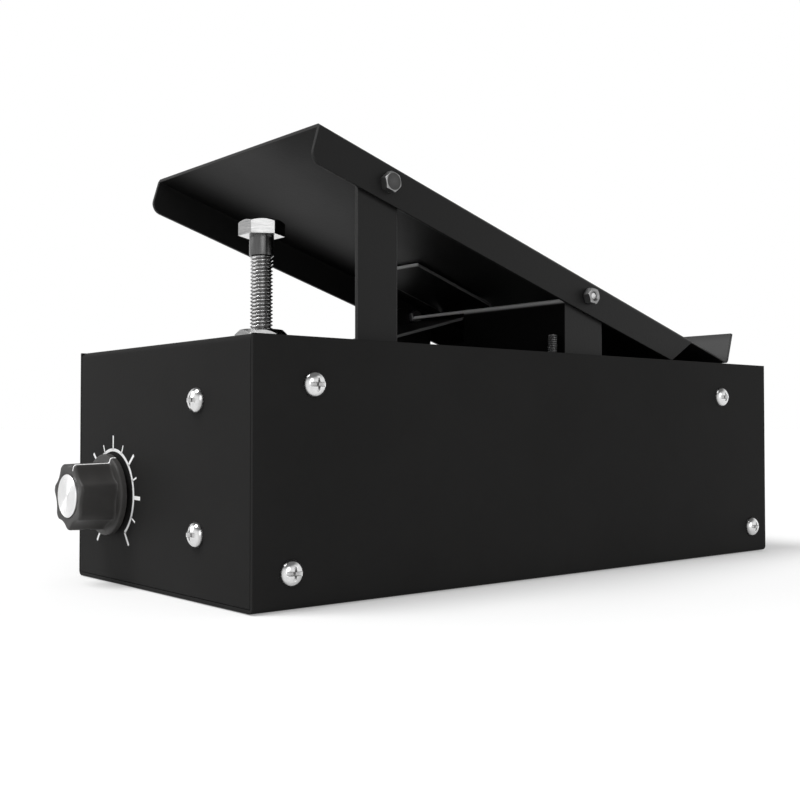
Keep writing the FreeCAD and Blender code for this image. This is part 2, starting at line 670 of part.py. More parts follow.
def top_cover():
    """Front, top and rear, bent from one sheet, with flanges for the side screws."""
    body = new_body("top_cover")
    low = S.sheet + S.cover_fit
    start = -(cover_width / 2)
    hoop = new_sketch(body, "cover_hoop", "YZ_Plane", start)
    inner = half_length - S.sheet
    outline(hoop, [(-half_length, low), (-inner, low), (-inner, inside_top), (inner, inside_top),
                   (inner, low), (half_length, low), (half_length, S.box_height),
                   (-half_length, S.box_height)])
    pad(hoop, cover_width)
    soften(body, bend, lambda edge: runs_along(edge, X) and near(edge, z=S.box_height))
    soften(body, S.bend_inner, lambda edge: runs_along(edge, X) and near(edge, z=inside_top))
    for side, name in ((start, "left"), (cover_width / 2 - S.sheet, "right")):
        flange = new_sketch(body, "cover_flange_" + name, "YZ_Plane", side)
        front = S.flange_deep - half_length
        rear = half_length - S.flange_rear
        lid = S.box_height - S.flange_deep
        skin = S.sheet / 2
        outline(flange, [(skin - half_length, low), (front, low), (front, lid), (rear, lid),
                         (rear, low), (half_length - skin, low), (half_length - skin, S.box_height - skin),
                         (skin - half_length, S.box_height - skin)])
        pad(flange, S.sheet)
    holes = new_sketch(body, "cover_side_holes", "YZ_Plane")
    for along, height in side_screw_places():
        circle(holes, along, height, screw_hole)
    pocket(holes, both=True)
    face = new_sketch(body, "cover_front_holes", "XZ_Plane", inner - S.cut_spare)
    circle(face, -S.dial_side, S.dial_height, S.pot_bush + S.run_fit)
    circle(face, S.front_screw_side, S.front_screw_low, screw_hole)
    circle(face, S.front_screw_side, S.front_screw_low + S.front_screw_pitch, screw_hole)
    pocket(face, reverse=True)
    tail = new_sketch(body, "cover_rear_hole", "XZ_Plane", -(inner - S.cut_spare))
    circle(tail, 0, S.gland_height, S.gland_thread + S.run_fit)
    pocket(tail)
    lid_cut = new_sketch(body, "cover_top_holes", "XY_Plane", inside_top - S.cut_spare)
    circle(lid_cut, 0, bolt_y, S.bolt_radius + S.side_fit)
    circle(lid_cut, rest_x, rest_y, screw_hole)
    for across, along in foot_screw_places() + bracket_screw_places():
        circle(lid_cut, across, along, screw_hole)
    swing = (S.rear_pivot_run - S.front_pivot_run) * sine(S.press_angle) * sine(S.tray_tilt)
    rectangle(lid_cut, straddle - S.leg_thick - S.slot_margin,
              front_pivot_y - S.leg_ahead - swing - S.slot_margin,
              straddle + S.slot_margin, front_pivot_y + S.leg_behind + S.slot_margin)
    pocket(lid_cut, reverse=True)
    return body


def rear_bracket():
    """Two legs, a web across their front, a shelf bent back from the web, and a foot on each leg."""
    body = new_body("rear_bracket")
    front = rear_pivot_y - S.bracket_ahead
    rear = rear_pivot_y + S.bracket_behind
    top = bracket_top_z
    window = shelf_top - S.bracket_thick - S.shelf_band
    inner = straddle - S.bracket_thick
    spring_end = S.spring_wide - S.shelf_left + S.cut_spare
    plan = new_sketch(body, "bracket_web", "XZ_Plane", -front)
    outline(plan, [(-straddle, S.box_height), (straddle, S.box_height), (straddle, shelf_top),
                   (spring_end, shelf_top), (spring_end, window), (-straddle, window)])
    pad(plan, S.bracket_thick, reverse=True)
    ledge = new_sketch(body, "bracket_shelf", "XY_Plane", shelf_top - S.bracket_thick)
    rectangle(ledge, -S.shelf_left, front, straddle, front + S.shelf_depth)
    pad(ledge, S.bracket_thick)
    for side, name in ((-straddle, "left"), (inner, "right")):
        leg = new_sketch(body, "bracket_leg_" + name, "YZ_Plane", side)
        rectangle(leg, front, S.box_height, rear, top)
        pad(leg, S.bracket_thick)
    for side, name in ((-1, "left"), (1, "right")):
        foot = new_sketch(body, "bracket_foot_" + name, "XY_Plane", S.box_height)
        rectangle(foot, side * (straddle - S.bracket_foot), front, side * inner, rear)
        pad(foot, S.bracket_thick)
    soften(body, S.shelf_bend, lambda edge: runs_along(edge, X) and near(edge, y=front, z=shelf_top))
    soften(body, S.bracket_corner, lambda edge: runs_along(edge, X) and near(edge, z=top))
    bores = new_sketch(body, "bracket_bores", "YZ_Plane")
    circle(bores, rear_pivot_y, rear_pivot_z, S.rear_pin + S.screw_fit)
    pocket(bores, both=True)
    holes = new_sketch(body, "bracket_foot_holes", "XY_Plane", S.box_height)
    for across, along in bracket_screw_places():
        circle(holes, across, along, screw_hole)
    pocket(holes, S.bracket_thick + S.cut_spare, reverse=True)
    return body


def strip(path_edges, width, thickness):
    """A flat strip that follows a path in the length-height plane, from zero along X."""
    path = Part.Wire(path_edges)
    section = path.makeOffset2D(thickness.value / 2, 2, True, True)
    return Part.Face(section).extrude(Vector(width.value, 0, 0))


def direction(degrees):
    """A unit vector in the length-height plane, at an angle from +Y towards +Z."""
    return Vector(0, math.cos(math.radians(degrees)), math.sin(math.radians(degrees)))


def line(start, end):
    """A straight piece of a path."""
    return Part.LineSegment(start, end).toShape()


def corner(before, at, after, radius):
    """The arc that rounds a corner of a path, with its two ends."""
    back = (before - at).normalize()
    on = (after - at).normalize()
    half = back.getAngle(on) / 2
    start = at + back * (radius / math.tan(half))
    end = at + on * (radius / math.tan(half))
    bisector = (back + on).normalize()
    middle = at + bisector * (radius / math.sin(half) - radius)
    return Part.Arc(start, middle, end).toShape(), start, end


def round_about(centre, radius, first, last):
    """An arc about a centre, between two angles in degrees."""
    spots = [centre + direction(angle) * radius for angle in (first, (first + last) / 2, last)]
    return Part.Arc(*spots).toShape(), spots[0], spots[-1]


def return_spring():
    """A leaf folded into a V round the bracket's shelf: foot, lower leaf, fold and upper leaf."""
    half = S.spring_thick.value / 2
    gap = S.side_fit.value
    rise = S.spring_rise.value
    fold = S.spring_fold.value
    shelf_back = (rear_pivot_y - S.bracket_ahead + S.shelf_depth).value
    shelf_under = (shelf_top - S.bracket_thick).value
    toe = Vector(0, (S.spring_toe_back - tray_front).value, S.box_height.value + half)
    heel = toe + Vector(0, S.spring_foot.value, 0)

    # The lower leaf just clears the shelf's lower rear edge.
    room = Vector(0, shelf_back, shelf_under - gap) - heel
    slope = math.degrees(math.atan2(room.z, room.y) - math.asin(half / room.Length))
    pass_by = heel + direction(slope) * room.Length
    fold_centre = pass_by + direction(slope + QUARTER) * fold
    upper = fold_centre + direction(QUARTER - rise) * fold
    leaf_end = upper + direction(2 * QUARTER - rise) * S.spring_reach.value

    # The fold moves back along the lower leaf until the upper leaf's front end just clears the tray.
    tilt = S.tray_tilt.value
    steep = math.tan(math.radians(tilt))
    level = math.cos(math.radians(tilt))
    tray_under = tray_top.value - (leaf_end.y + tray_front.value) * steep - S.sheet.value / level
    spare = (tray_under - leaf_end.z) * level - half - gap
    behind = direction(slope) * (spare / math.sin(math.radians(tilt + slope)))
    fold_arc, lower, upper = round_about(fold_centre + behind, fold, slope - QUARTER, QUARTER - rise)
    heel_arc, heel_start, heel_end = corner(toe, heel, lower, S.spring_corner.value)
    edges = [line(toe, heel_start), heel_arc, line(heel_end, lower), fold_arc, line(upper, leaf_end + behind)]
    shape = strip(edges, S.spring_wide, S.spring_thick)
    for across, along in foot_screw_places():
        base = Vector((across + S.shelf_left).value, along.value, S.box_height.value)
        shape = shape.cut(Part.makeCylinder(screw_hole.value, S.spring_thick.value, base))
    piece = doc.addObject("Part::Feature", "return_spring")
    piece.Label = "return_spring"
    piece.Shape = shape
    place(piece, -S.shelf_left, 0, 0)
    return piece


def chamfer_rim(body, flats, top, drop):
    """Turn the corners off the top of a hexagon, down to a height below it."""
    rim = new_sketch(body, body.Name + "_rim", "XZ_Plane")
    corner = flats / math.sqrt(3) + S.cover_fit
    outline(rim, [(flats / 2 - S.hex_rim, top), (corner, top - drop), (corner, top)])
    groove = body.newObject("PartDesign::Groove", body.Name + "_chamfer")
    groove.Profile = rim
    groove.ReferenceAxis = (rim, ["V_Axis"])
    groove.Angle = 360.0
    sound(groove)


def stop_nut():
    """The large lock nut of the stop bolt, chamfered on top."""
    body = hex_nut("stop_nut", S.bolt_radius + S.run_fit, S.stop_nut_hex, S.stop_nut_high)
    chamfer_rim(body, S.stop_nut_hex, S.stop_nut_high, S.stop_nut_drop)
    place(body, 0, bolt_y, S.box_height)
    return body


def stop_bolt():
    """The bolt that limits the press: the tray's underside comes down to its chamfered head."""
    body = hex_bolt("stop_bolt", S.bolt_radius, S.bolt_long, S.bolt_hex, S.bolt_head)
    chamfer_rim(body, S.bolt_hex, S.bolt_head, S.bolt_drop)
    pressed = S.tray_tilt - S.press_angle
    slope = sine(pressed) / cosine(pressed)
    corner_y = bolt_y + S.bolt_hex / 2 - S.hex_rim
    under = rear_pivot_z + (S.pivot_depth - S.sheet) / cosine(pressed)
    top = under + (rear_pivot_y - corner_y) * slope - S.stop_gap
    place(body, 0, bolt_y, top - S.bolt_head)
    return body


def rod(name, radius, length):
    """A plain rod that stands on zero."""
    body = new_body(name)
    section = new_sketch(body, name + "_section", "XY_Plane")
    circle(section, 0, 0, radius)
    pad(section, length)
    return body


def ring(name, bore, outer, length):
    """A ring that stands on zero."""
    body = new_body(name)
    section = new_sketch(body, name + "_section", "XY_Plane")
    circle(section, 0, 0, outer)
    circle(section, 0, 0, bore)
    pad(section, length)
    return body


def rest_stop_screw():
    """The headless screw that holds the lever, and so the tray, at rest."""
    edge = lever_pivot_z + (S.rest_ahead + S.screw_radius) * arm_rise + S.lever_half / slope_cosine
    low = edge + S.rest_gap
    body = rod("rest_stop_screw", S.screw_radius, S.box_height + S.rest_above - low)
    place(body, rest_x, rest_y, low)
    return body


def pedal_tray():
    """The tray in its own frame: top face at zero, front edge at zero, running back along Y."""
    body = new_body("pedal_tray")
    half = tray_width / 2
    plate = new_sketch(body, "tray_plate", "XY_Plane", -S.sheet)
    rectangle(plate, -half, 0, half, tray_run)
    pad(plate, S.sheet)
    skin = S.sheet / 2
    for side, name in ((-half, "left"), (tray_inside, "right")):
        flange = new_sketch(body, "tray_flange_" + name, "YZ_Plane", side)
        end = flange_end + S.flange_taper
        outline(flange, [(0, -skin), (0, -S.tray_flange), (flange_end, -S.tray_flange),
                         (end, -S.sheet), (end, -skin)])
        pad(flange, S.sheet)
    soften(body, S.tray_bend, lambda edge: runs_along(edge, Y) and near(edge, z=0))
    lip = new_sketch(body, "tray_heel_lip", "XZ_Plane", -tray_run)
    rectangle(lip, -half, -S.sheet, half, S.tray_lip)
    pad(lip, S.sheet)
    soften(body, S.tray_corner,
           lambda edge: runs_along(edge, X) and near(edge, y=0) and near(edge, z=-S.tray_flange))
    soften(body, bend, lambda edge: runs_along(edge, X) and near(edge, y=tray_run, z=-S.sheet))
    rear = new_sketch(body, "tray_rear_bores", "YZ_Plane")
    circle(rear, S.rear_pivot_run, -S.pivot_depth, S.rear_pin + S.run_fit)
    pocket(rear, both=True)
    front = new_sketch(body, "tray_front_bore", "YZ_Plane", tray_inside - S.cut_spare)
    circle(front, S.front_pivot_run, -S.pivot_depth, S.front_pin + S.run_fit)
    pocket(front, reverse=True)
    turn = FreeCAD.Rotation(Vector(-1, 0, 0), S.tray_tilt.value)
    body.Placement = FreeCAD.Placement(Vector(0, -tray_front.value, tray_top.value), turn)
    body.setExpression("Placement.Base.y", (-tray_front).text)
    body.setExpression("Placement.Base.z", tray_top.text)
    body.setExpression("Placement.Rotation.Angle", S.tray_tilt.text)
    return body


def push_leg():
    """The upright strip that carries the toe's motion into the box."""
    body = new_body("push_leg")
    strap = new_sketch(body, "leg_strap", "YZ_Plane", straddle - S.leg_thick)
    front = front_pivot_y - S.leg_ahead
    rear = front_pivot_y + S.leg_behind
    top = front_pivot_z + S.leg_above
    low = link_z - S.leg_below
    rectangle(strap, front, low, rear, top)
    pad(strap, S.leg_thick)
    soften(body, S.leg_round_front, lambda edge: runs_along(edge, X) and near(edge, y=front))
    soften(body, S.leg_round_rear, lambda edge: runs_along(edge, X) and near(edge, y=rear))
    bores = new_sketch(body, "leg_bores", "YZ_Plane")
    circle(bores, front_pivot_y, front_pivot_z, S.front_pin + S.run_fit)
    circle(bores, front_pivot_y, link_z, S.link_radius + S.run_fit)
    pocket(bores, reverse=True)
    return body


def tooth_flank(teeth, points=4):
    """Radius and half angle along one flank of an involute tooth, from its root to its tip."""
    module = S.gear_module.value
    pitch = module * teeth / 2
    pressure = math.radians(S.gear_pressure.value)
    base = pitch * math.cos(pressure)
    root = pitch - S.gear_root.value * module
    tip = pitch + S.gear_tip.value * module
    thinning = S.gear_backlash.value / pitch
    half = math.pi / (2 * teeth) - thinning + math.tan(pressure) - pressure
    flank = []
    if root < base:
        flank.append((root, half))
    start = max(root, base)
    for step in range(points):
        radius = start + (tip - start) * step / (points - 1)
        angle = math.acos(min(1.0, base / radius))
        flank.append((radius, half - (math.tan(angle) - angle)))
    return flank


def toothed_edge(teeth, middle, first, count):
    """Radius and angle of points round some of a gear's teeth, numbered from the tooth at middle."""
    flank = tooth_flank(teeth)
    points = []
    for number in range(first, first + count):
        at = middle + 2 * math.pi * number / teeth
        points += [(radius, at - half) for radius, half in flank]
        points += [(radius, at + half) for radius, half in reversed(flank)]
    return points


def plate_of(points, start, thickness):
    """A plate in the length-height plane, from its outline and the X it starts at."""
    corners = [Vector(start, along, up) for along, up in points]
    return Part.Face(Part.makePolygon(corners + corners[:1])).extrude(Vector(thickness, 0, 0))


def disc(along, up, radius, start, thickness):
    """A disc across the length-height plane."""
    return Part.makeCylinder(radius, thickness, Vector(start, along, up), X)


def sector_lever():
    """Arm, hub, eye, trip nose and toothed sector in one plate."""
    start = lever_x.value
    thick = S.lever_thick.value
    tilt = math.radians(S.tray_tilt.value)
    pivot_y, pivot_z = rear_pivot_y.value, lever_pivot_z.value
    eye_y, eye_z = front_pivot_y.value, link_z.value
    normal_y, normal_z = math.sin(tilt), math.cos(tilt)
    half, eye = S.lever_half.value, S.lever_eye.value
    arm = [(pivot_y + normal_y * half, pivot_z + normal_z * half),
           (eye_y + normal_y * eye, eye_z + normal_z * eye),
           (eye_y - normal_y * eye, eye_z - normal_z * eye),
           (pivot_y - normal_y * half, pivot_z - normal_z * half)]
    shape = plate_of(arm, start, thick)
    teeth = int(S.sector_teeth.value)
    cut = int(S.sector_cut.value)
    rim = toothed_edge(teeth, -tilt, -(cut // 2), cut)
    sector = [(pivot_y, pivot_z)]
    sector += [(pivot_y + radius * math.cos(angle), pivot_z + radius * math.sin(angle))
               for radius, angle in rim]
    shape = shape.fuse(plate_of(sector, start, thick))
    shape = shape.fuse(disc(pivot_y, pivot_z, S.lever_hub.value, start, thick))
    shape = shape.fuse(disc(eye_y, eye_z, eye, start, thick))
    nose_clear = S.nose_radius + S.leaf_thick / 2 + S.nose_gap
    nose_up = (nose_clear + (S.nose_ahead - S.leaf_back) * sine(S.leaf_slope)) / cosine(S.leaf_slope)
    nose_y, nose_z = pivot_y - S.nose_ahead.value, (hinge_z + nose_up).value
    shape = shape.fuse(disc(nose_y, nose_z, S.nose_radius.value, start, thick))
    fit = S.run_fit.value
    shape = shape.cut(disc(pivot_y, pivot_z, S.lever_bore.value + fit, start, thick))
    shape = shape.cut(disc(eye_y, eye_z, S.link_radius.value + fit, start, thick))
    relief_y, relief_z = pivot_y - S.relief_ahead.value, pivot_z - S.relief_low.value
    shape = shape.cut(disc(relief_y, relief_z, S.relief_radius.value, start, thick))
    piece = doc.addObject("Part::Feature", "sector_lever")
    piece.Label = "sector_lever"
    piece.Shape = shape.removeSplitter()
    return piece


def pinion():
    """The small gear with its hub, on the pedal potentiometer's shaft."""
    start = lever_x.value
    thick = S.lever_thick.value
    tilt = math.radians(S.tray_tilt.value)
    teeth = int(S.pinion_teeth.value)
    centre_y, centre_z = pot_y.value, pot_z.value
    # A gap faces the sector, so the teeth are in mesh at rest.
    rim = toothed_edge(teeth, math.pi - tilt + math.pi / teeth, 0, teeth)
    points = [(centre_y + radius * math.cos(angle), centre_z + radius * math.sin(angle))
              for radius, angle in rim]
    shape = plate_of(points, start, thick)
    hub = (S.pot_shaft + S.pinion_wall).value
    long = (S.lever_thick + S.pinion_hub).value
    shape = shape.fuse(disc(centre_y, centre_z, hub, start, long))
    shape = shape.cut(disc(centre_y, centre_z, (S.pot_shaft + S.seat_fit).value, start, long))
    piece = doc.addObject("Part::Feature", "pinion")
    piece.Label = "pinion"
    piece.Shape = shape
    return piece


def link_pin():
    """The shouldered pin in the lever's eye that carries the push leg."""
    body = new_body("link_pin")
    profile = new_sketch(body, "link_pin_profile", "XZ_Plane")
    eye_top = lever_x + S.lever_thick
    leg_in = straddle - S.leg_thick - S.nut_gap
    pin_end = straddle + S.nut_gap + S.clip_thick + S.pin_spare
    back = lever_x - S.pin_head
    outline(profile, [(0, back), (S.link_shoulder, back), (S.link_shoulder, lever_x),
                      (S.link_radius, lever_x), (S.link_radius, eye_top), (S.link_shoulder, eye_top),
                      (S.link_shoulder, leg_in), (S.link_radius, leg_in), (S.link_radius, pin_end),
                      (0, pin_end)])
    revolve(profile)
    place(body, 0, front_pivot_y, link_z, X)
    return body


def mechanism_bracket():
    """The upright plate that carries the lever, the pedal potentiometer and the microswitch."""
    body = new_body("mechanism_bracket")
    plate = new_sketch(body, "mechanism_plate", "YZ_Plane", plate_x - S.plate_thick)
    front = switch_rear - S.switch_long - S.plate_ahead
    rear = pot_y + S.plate_margin
    low = S.sheet
    outline(plate, [(front, low), (rear, low), (rear, pot_z + S.plate_margin),
                    (rear_pivot_y + S.plate_margin, lever_pivot_z + S.plate_margin),
                    (rear_pivot_y - S.plate_margin, lever_pivot_z + S.plate_margin),
                    (front, switch_top)])
    pad(plate, S.plate_thick)
    foot = new_sketch(body, "mechanism_foot", "XY_Plane", S.sheet)
    rectangle(foot, plate_x - S.plate_foot, front, plate_x - S.plate_thick / 2, rear)
    pad(foot, S.plate_thick)
    low_edges = (S.sheet + S.plate_corner).value
    soften(body, S.plate_corner,
           lambda edge: runs_along(edge, X) and edge.CenterOfMass.z > low_edges)
    bores = new_sketch(body, "mechanism_bores", "YZ_Plane", plate_x)
    circle(bores, rear_pivot_y, lever_pivot_z, S.lever_bore + S.run_fit)
    circle(bores, pot_y, pot_z, S.pot_bush + S.run_fit)
    for along in switch_screw_places():
        circle(bores, along, switch_screw_z, S.switch_screw + S.switch_hole_fit)
    pocket(bores)
    holes = new_sketch(body, "mechanism_foot_holes", "XY_Plane", S.sheet)
    for across, along in floor_stud_places():
        circle(holes, across, along, screw_hole)
    pocket(holes, S.plate_thick, reverse=True)
    return body


def switch_screw_places():
    """Length places of the microswitch's two screws."""
    middle = switch_rear - S.switch_long / 2
    return [middle - S.switch_pitch / 2, middle + S.switch_pitch / 2]


def floor_stud():
    """A clinch stud, flush with the underside of the floor."""
    body = new_body("floor_stud")
    top = S.sheet + S.plate_thick + S.small_nut + S.thread_spare
    profile = new_sketch(body, "floor_stud_profile", "XZ_Plane")
    outline(profile, [(0, 0), (S.stud_flange, 0), (S.stud_flange, S.sheet), (S.screw_radius, S.sheet),
                      (S.screw_radius, top), (0, top)])
    revolve(profile)
    return body


def potentiometer(name):
    """A rotary potentiometer drawn with its mounting face at zero and its bush upward."""
    body = new_body(name)
    profile = new_sketch(body, name + "_profile", "XZ_Plane")
    bore = S.pot_shaft + S.run_fit
    outline(profile, [(0, -S.pot_deep), (S.pot_radius, -S.pot_deep), (S.pot_radius, 0),
                      (S.pot_bush, 0), (S.pot_bush, S.pot_bush_long), (bore, S.pot_bush_long),
                      (bore, -S.pot_socket), (0, -S.pot_socket)])
    revolve(profile)
    lugs = new_sketch(body, name + "_lugs", "XZ_Plane")
    low = S.lug_up - S.pot_deep
    for side in (-S.lug_pitch, sized(0.0), S.lug_pitch):
        rectangle(lugs, side - S.lug_half, low, side + S.lug_half, low + S.lug_thick)
    pad(lugs, S.pot_radius + S.lug_long, reverse=True)
    return body


def microswitch():
    """A snap-action switch with two screw holes, a plunger hole and three tabs."""
    body = new_body("microswitch")
    low = switch_top - S.switch_high
    case = new_sketch(body, "switch_case", "YZ_Plane", plate_x)
    rectangle(case, switch_rear - S.switch_long, low, switch_rear, switch_top)
    pad(case, S.switch_wide)
    tabs = new_sketch(body, "switch_tabs", "YZ_Plane",
                      plate_x + S.switch_wide / 2 - S.lug_thick / 2)
    centre = switch_rear - S.switch_long / 2
    for middle in (centre - S.tab_pitch, centre, centre + S.tab_pitch):
        rectangle(tabs, middle - S.tab_half, low - S.tab_long, middle + S.tab_half,
                  low + S.cut_spare)
    pad(tabs, S.lug_thick)
    bores = new_sketch(body, "switch_bores", "YZ_Plane", plate_x + S.switch_wide)
    for along in switch_screw_places():
        circle(bores, along, switch_screw_z, S.switch_screw + S.switch_hole_fit)
    pocket(bores)
    well = new_sketch(body, "switch_plunger_well", "XY_Plane", switch_top)
    circle(well, rest_x, hinge_y - S.plunger_ahead, S.plunger_radius + S.run_fit)
    pocket(well, S.plunger_down + S.plunger_spare)
    return body


def switch_leaf():
    """The leaf that the lever's nose presses, with its hinge barrel."""
    body = new_body("switch_leaf")
    side = rest_x - S.leaf_wide / 2
    blade = new_sketch(body, "leaf_blade", "YZ_Plane", side)
    lift = sine(S.leaf_slope)
    reach = cosine(S.leaf_slope)
    half = S.leaf_thick / 2
    tip_y = hinge_y - S.leaf_long * reach
    tip_z = hinge_z + S.leaf_long * lift
    outline(blade, [(hinge_y - lift * half, hinge_z - reach * half),
                    (hinge_y + lift * half, hinge_z + reach * half),
                    (tip_y + lift * half, tip_z + reach * half),
                    (tip_y - lift * half, tip_z - reach * half)])
    pad(blade, S.leaf_wide)
    barrel = new_sketch(body, "leaf_barrel", "YZ_Plane", side)
    circle(barrel, hinge_y, hinge_z, S.leaf_barrel)
    pad(barrel, S.leaf_wide)
    return body


def switch_plunger():
    """The plunger under the leaf."""
    along = hinge_y - S.plunger_ahead
    leaf_rise = S.plunger_ahead * sine(S.leaf_slope) / cosine(S.leaf_slope)
    low = switch_top - S.plunger_down
    long = hinge_z + leaf_rise - S.leaf_thick - low
    body = rod("switch_plunger", S.plunger_radius, long)
    soften(body, S.plunger_round, lambda edge: near(edge, x=0, y=0, z=long), "Chamfer")
    place(body, rest_x, along, low)
    return body


def small_screw(name, length):
    """One of the microswitch's screws, drawn like the others with its shank down."""
    body = new_body(name)
    profile = new_sketch(body, name + "_profile", "XZ_Plane")
    high = S.switch_head_high
    outline(profile, [(0, high), (S.switch_head * S.switch_head_top, high), (S.switch_head, 0),
                      (S.switch_screw, 0),
                      (S.switch_screw, -length), (0, -length)])
    revolve(profile)
    return body


def terminal_strip():
    """The strip behind the front screws, with an open cell for each terminal."""
    body = new_body("terminal_strip")
    back = half_length - S.sheet
    low = S.front_screw_low + S.front_screw_pitch / 2 - S.strip_long / 2
    block = new_sketch(body, "strip_block", "XZ_Plane", back)
    rectangle(block, S.front_screw_side - S.strip_wide / 2, low,
              S.front_screw_side + S.strip_wide / 2, low + S.strip_long)
    pad(block, S.strip_deep, reverse=True)
    cell = new_sketch(body, "strip_cell", "XZ_Plane", back - S.strip_deep)
    pitch = (S.front_screw_pitch - S.pan_radius * 2) / S.strip_ways
    first = S.front_screw_low + S.pan_radius + S.strip_gap
    half = S.strip_wide / 2 - S.strip_wall
    rectangle(cell, S.front_screw_side - half, first,
              S.front_screw_side + half, first + pitch - S.strip_wall)
    opened = pocket(cell, S.strip_cell, reverse=True)
    row = body.newObject("PartDesign::LinearPattern", "strip_cells")
    row.Originals = [opened]
    row.Direction = (cell, ["V_Axis"])
    row.Length = (pitch * (S.strip_ways - 1)).value
    row.setExpression("Length", (pitch * (S.strip_ways - 1)).text)
    row.Occurrences = int(S.strip_ways.value)
    body.Tip = row
    doc.recompute()
    holes = new_sketch(body, "strip_holes", "XZ_Plane", back)
    for height in (S.front_screw_low, S.front_screw_low + S.front_screw_pitch):
        circle(holes, S.front_screw_side, height, screw_hole)
    pocket(holes)
    return body


def knob():
    """The fluted knob, drawn with the housing's face at zero and its own face upward."""
    body = new_body("knob")
    profile = new_sketch(body, "knob_profile", "XZ_Plane")
    bore = S.pot_shaft + S.seat_fit
    hollow = S.pot_nut / math.sqrt(3) + S.knob_hollow
    deep = S.pot_bush_long + S.knob_bush_gap
    step = S.knob_gap + S.skirt_thick
    recess = S.cap_radius + S.cap_fit
    seat = S.knob_long - S.cap_deep
    outline(profile, [(bore, deep), (hollow, deep), (hollow, S.knob_gap), (S.knob_skirt, S.knob_gap),
                      (S.knob_skirt, step - S.skirt_edge), (S.knob_skirt - S.skirt_edge, step),
                      (S.knob_radius, step), (S.knob_radius, S.knob_long - S.knob_edge),
                      (S.knob_radius - S.knob_edge, S.knob_long), (recess, S.knob_long),
                      (recess, seat), (bore, seat)])
    revolve(profile)
    flute = new_sketch(body, "knob_flute", "XY_Plane", step)
    away = S.knob_radius - S.flute_deep + S.flute_radius
    turn = S.pointer_angle + sized(180.0) / S.knob_flutes
    circle(flute, away * sine(turn), away * cosine(turn), S.flute_radius)
    cut = pocket(flute, S.knob_long, reverse=True)
    ring_of = body.newObject("PartDesign::PolarPattern", "knob_flutes")
    ring_of.Originals = [cut]
    ring_of.Axis = (flute, ["N_Axis"])
    ring_of.Angle = 360.0
    ring_of.Occurrences = int(S.knob_flutes.value)
    body.Tip = ring_of
    doc.recompute()
    side = new_sketch(body, "knob_screw_hole", "XZ_Plane")
    circle(side, 0, (step + S.knob_long) / 2, S.switch_screw + S.grub_fit)
    pocket(side, S.knob_radius, reverse=True)
    place(body, -S.dial_side, dial_y, S.dial_height, -Y)
    return body


def knob_cap():
    """The turned metal cap let into the knob's face."""
    body = new_body("knob_cap")
    profile = new_sketch(body, "knob_cap_profile", "XZ_Plane")
    low = S.knob_long - S.cap_deep
    top = S.knob_long + S.cap_proud
    outline(profile, [(0, low), (S.cap_radius, low), (S.cap_radius, top - S.cap_edge),
                      (S.cap_radius - S.cap_edge, top), (0, top)])
    revolve(profile)
    place(body, -S.dial_side, dial_y, S.dial_height, -Y)
    return body


def gland_body():
    """The gland's hexagon outside the box and its thread inside, drawn along +Z from the rear face."""
    body = new_body("gland_body")
    collar = new_sketch(body, "gland_collar", "XY_Plane")
    hexagon(collar, S.gland_hex)
    pad(collar, S.gland_collar)
    thread = new_sketch(body, "gland_thread", "XY_Plane")
    circle(thread, 0, 0, S.gland_thread)
    pad(thread, S.sheet + S.gland_inside, reverse=True)
    neck = new_sketch(body, "gland_neck", "XY_Plane", S.gland_collar)
    circle(neck, 0, 0, S.gland_thread)
    pad(neck, S.gland_cap - S.gland_dome)
    bore = new_sketch(body, "gland_through", "XY_Plane", S.gland_collar + S.gland_cap)
    circle(bore, 0, 0, S.gland_bore + S.gland_seat)
    pocket(bore)
    place(body, 0, half_length, S.gland_height, Y)
    return body


def gland_cap():
    """The gland's domed cap."""
    body = new_body("gland_cap")
    profile = new_sketch(body, "gland_cap_profile", "XZ_Plane")
    low = S.gland_collar + S.gland_gap
    top = S.gland_collar + S.gland_cap
    bore = S.gland_thread + S.run_fit
    mouth = S.gland_bore + S.gland_mouth
    outer = S.gland_hex / 2 - S.gland_gap
    under = top - S.gland_lid
    outline(profile, [(bore, low), (outer, low), (outer, top - S.gland_dome),
                      (mouth + S.gland_lead, top), (mouth, top), (mouth, under), (bore, under)])
    revolve(profile)
    place(body, 0, half_length, S.gland_height, Y)
    return body


def gland_seal():
    """The rubber sleeve that grips a cable."""
    outer = S.gland_bore + S.gland_seat - S.run_fit
    long = S.gland_cap - S.gland_lid - S.gland_short
    body = ring("gland_seal", S.gland_bore, outer, long)
    place(body, 0, half_length + S.gland_collar, S.gland_height, Y)
    return body


# The whole switch, housing first

keep(base_shell())
keep(top_cover())

side_screw = pan_screw("side_screw_piece", S.side_screw_long)
side_spots = [((side * half_width, along, height), side * X)
              for side in (-1, 1) for along, height in side_screw_places()]
keep(placed(side_screw, "side_screws", side_spots))

front_screw = pan_screw("front_screw_piece", S.front_screw_long)
front_spots = [((S.front_screw_side, -half_length, S.front_screw_low + rise), -Y)
               for rise in (sized(0.0), S.front_screw_pitch)]
keep(placed(front_screw, "front_screws", front_spots))
keep(terminal_strip())

keep(rear_bracket())
bracket_screw = pan_screw("bracket_screw_piece", S.side_screw_long)
bracket_top = S.box_height + S.bracket_thick
keep(placed(bracket_screw, "bracket_screws",
            [((across, along, bracket_top), Z) for across, along in bracket_screw_places()]))

keep(return_spring())
spring_screw = pan_screw("spring_screw_piece", S.side_screw_long)
spring_top = S.box_height + S.spring_thick
keep(placed(spring_screw, "spring_screws",
            [((across, along, spring_top), Z) for across, along in foot_screw_places()]))

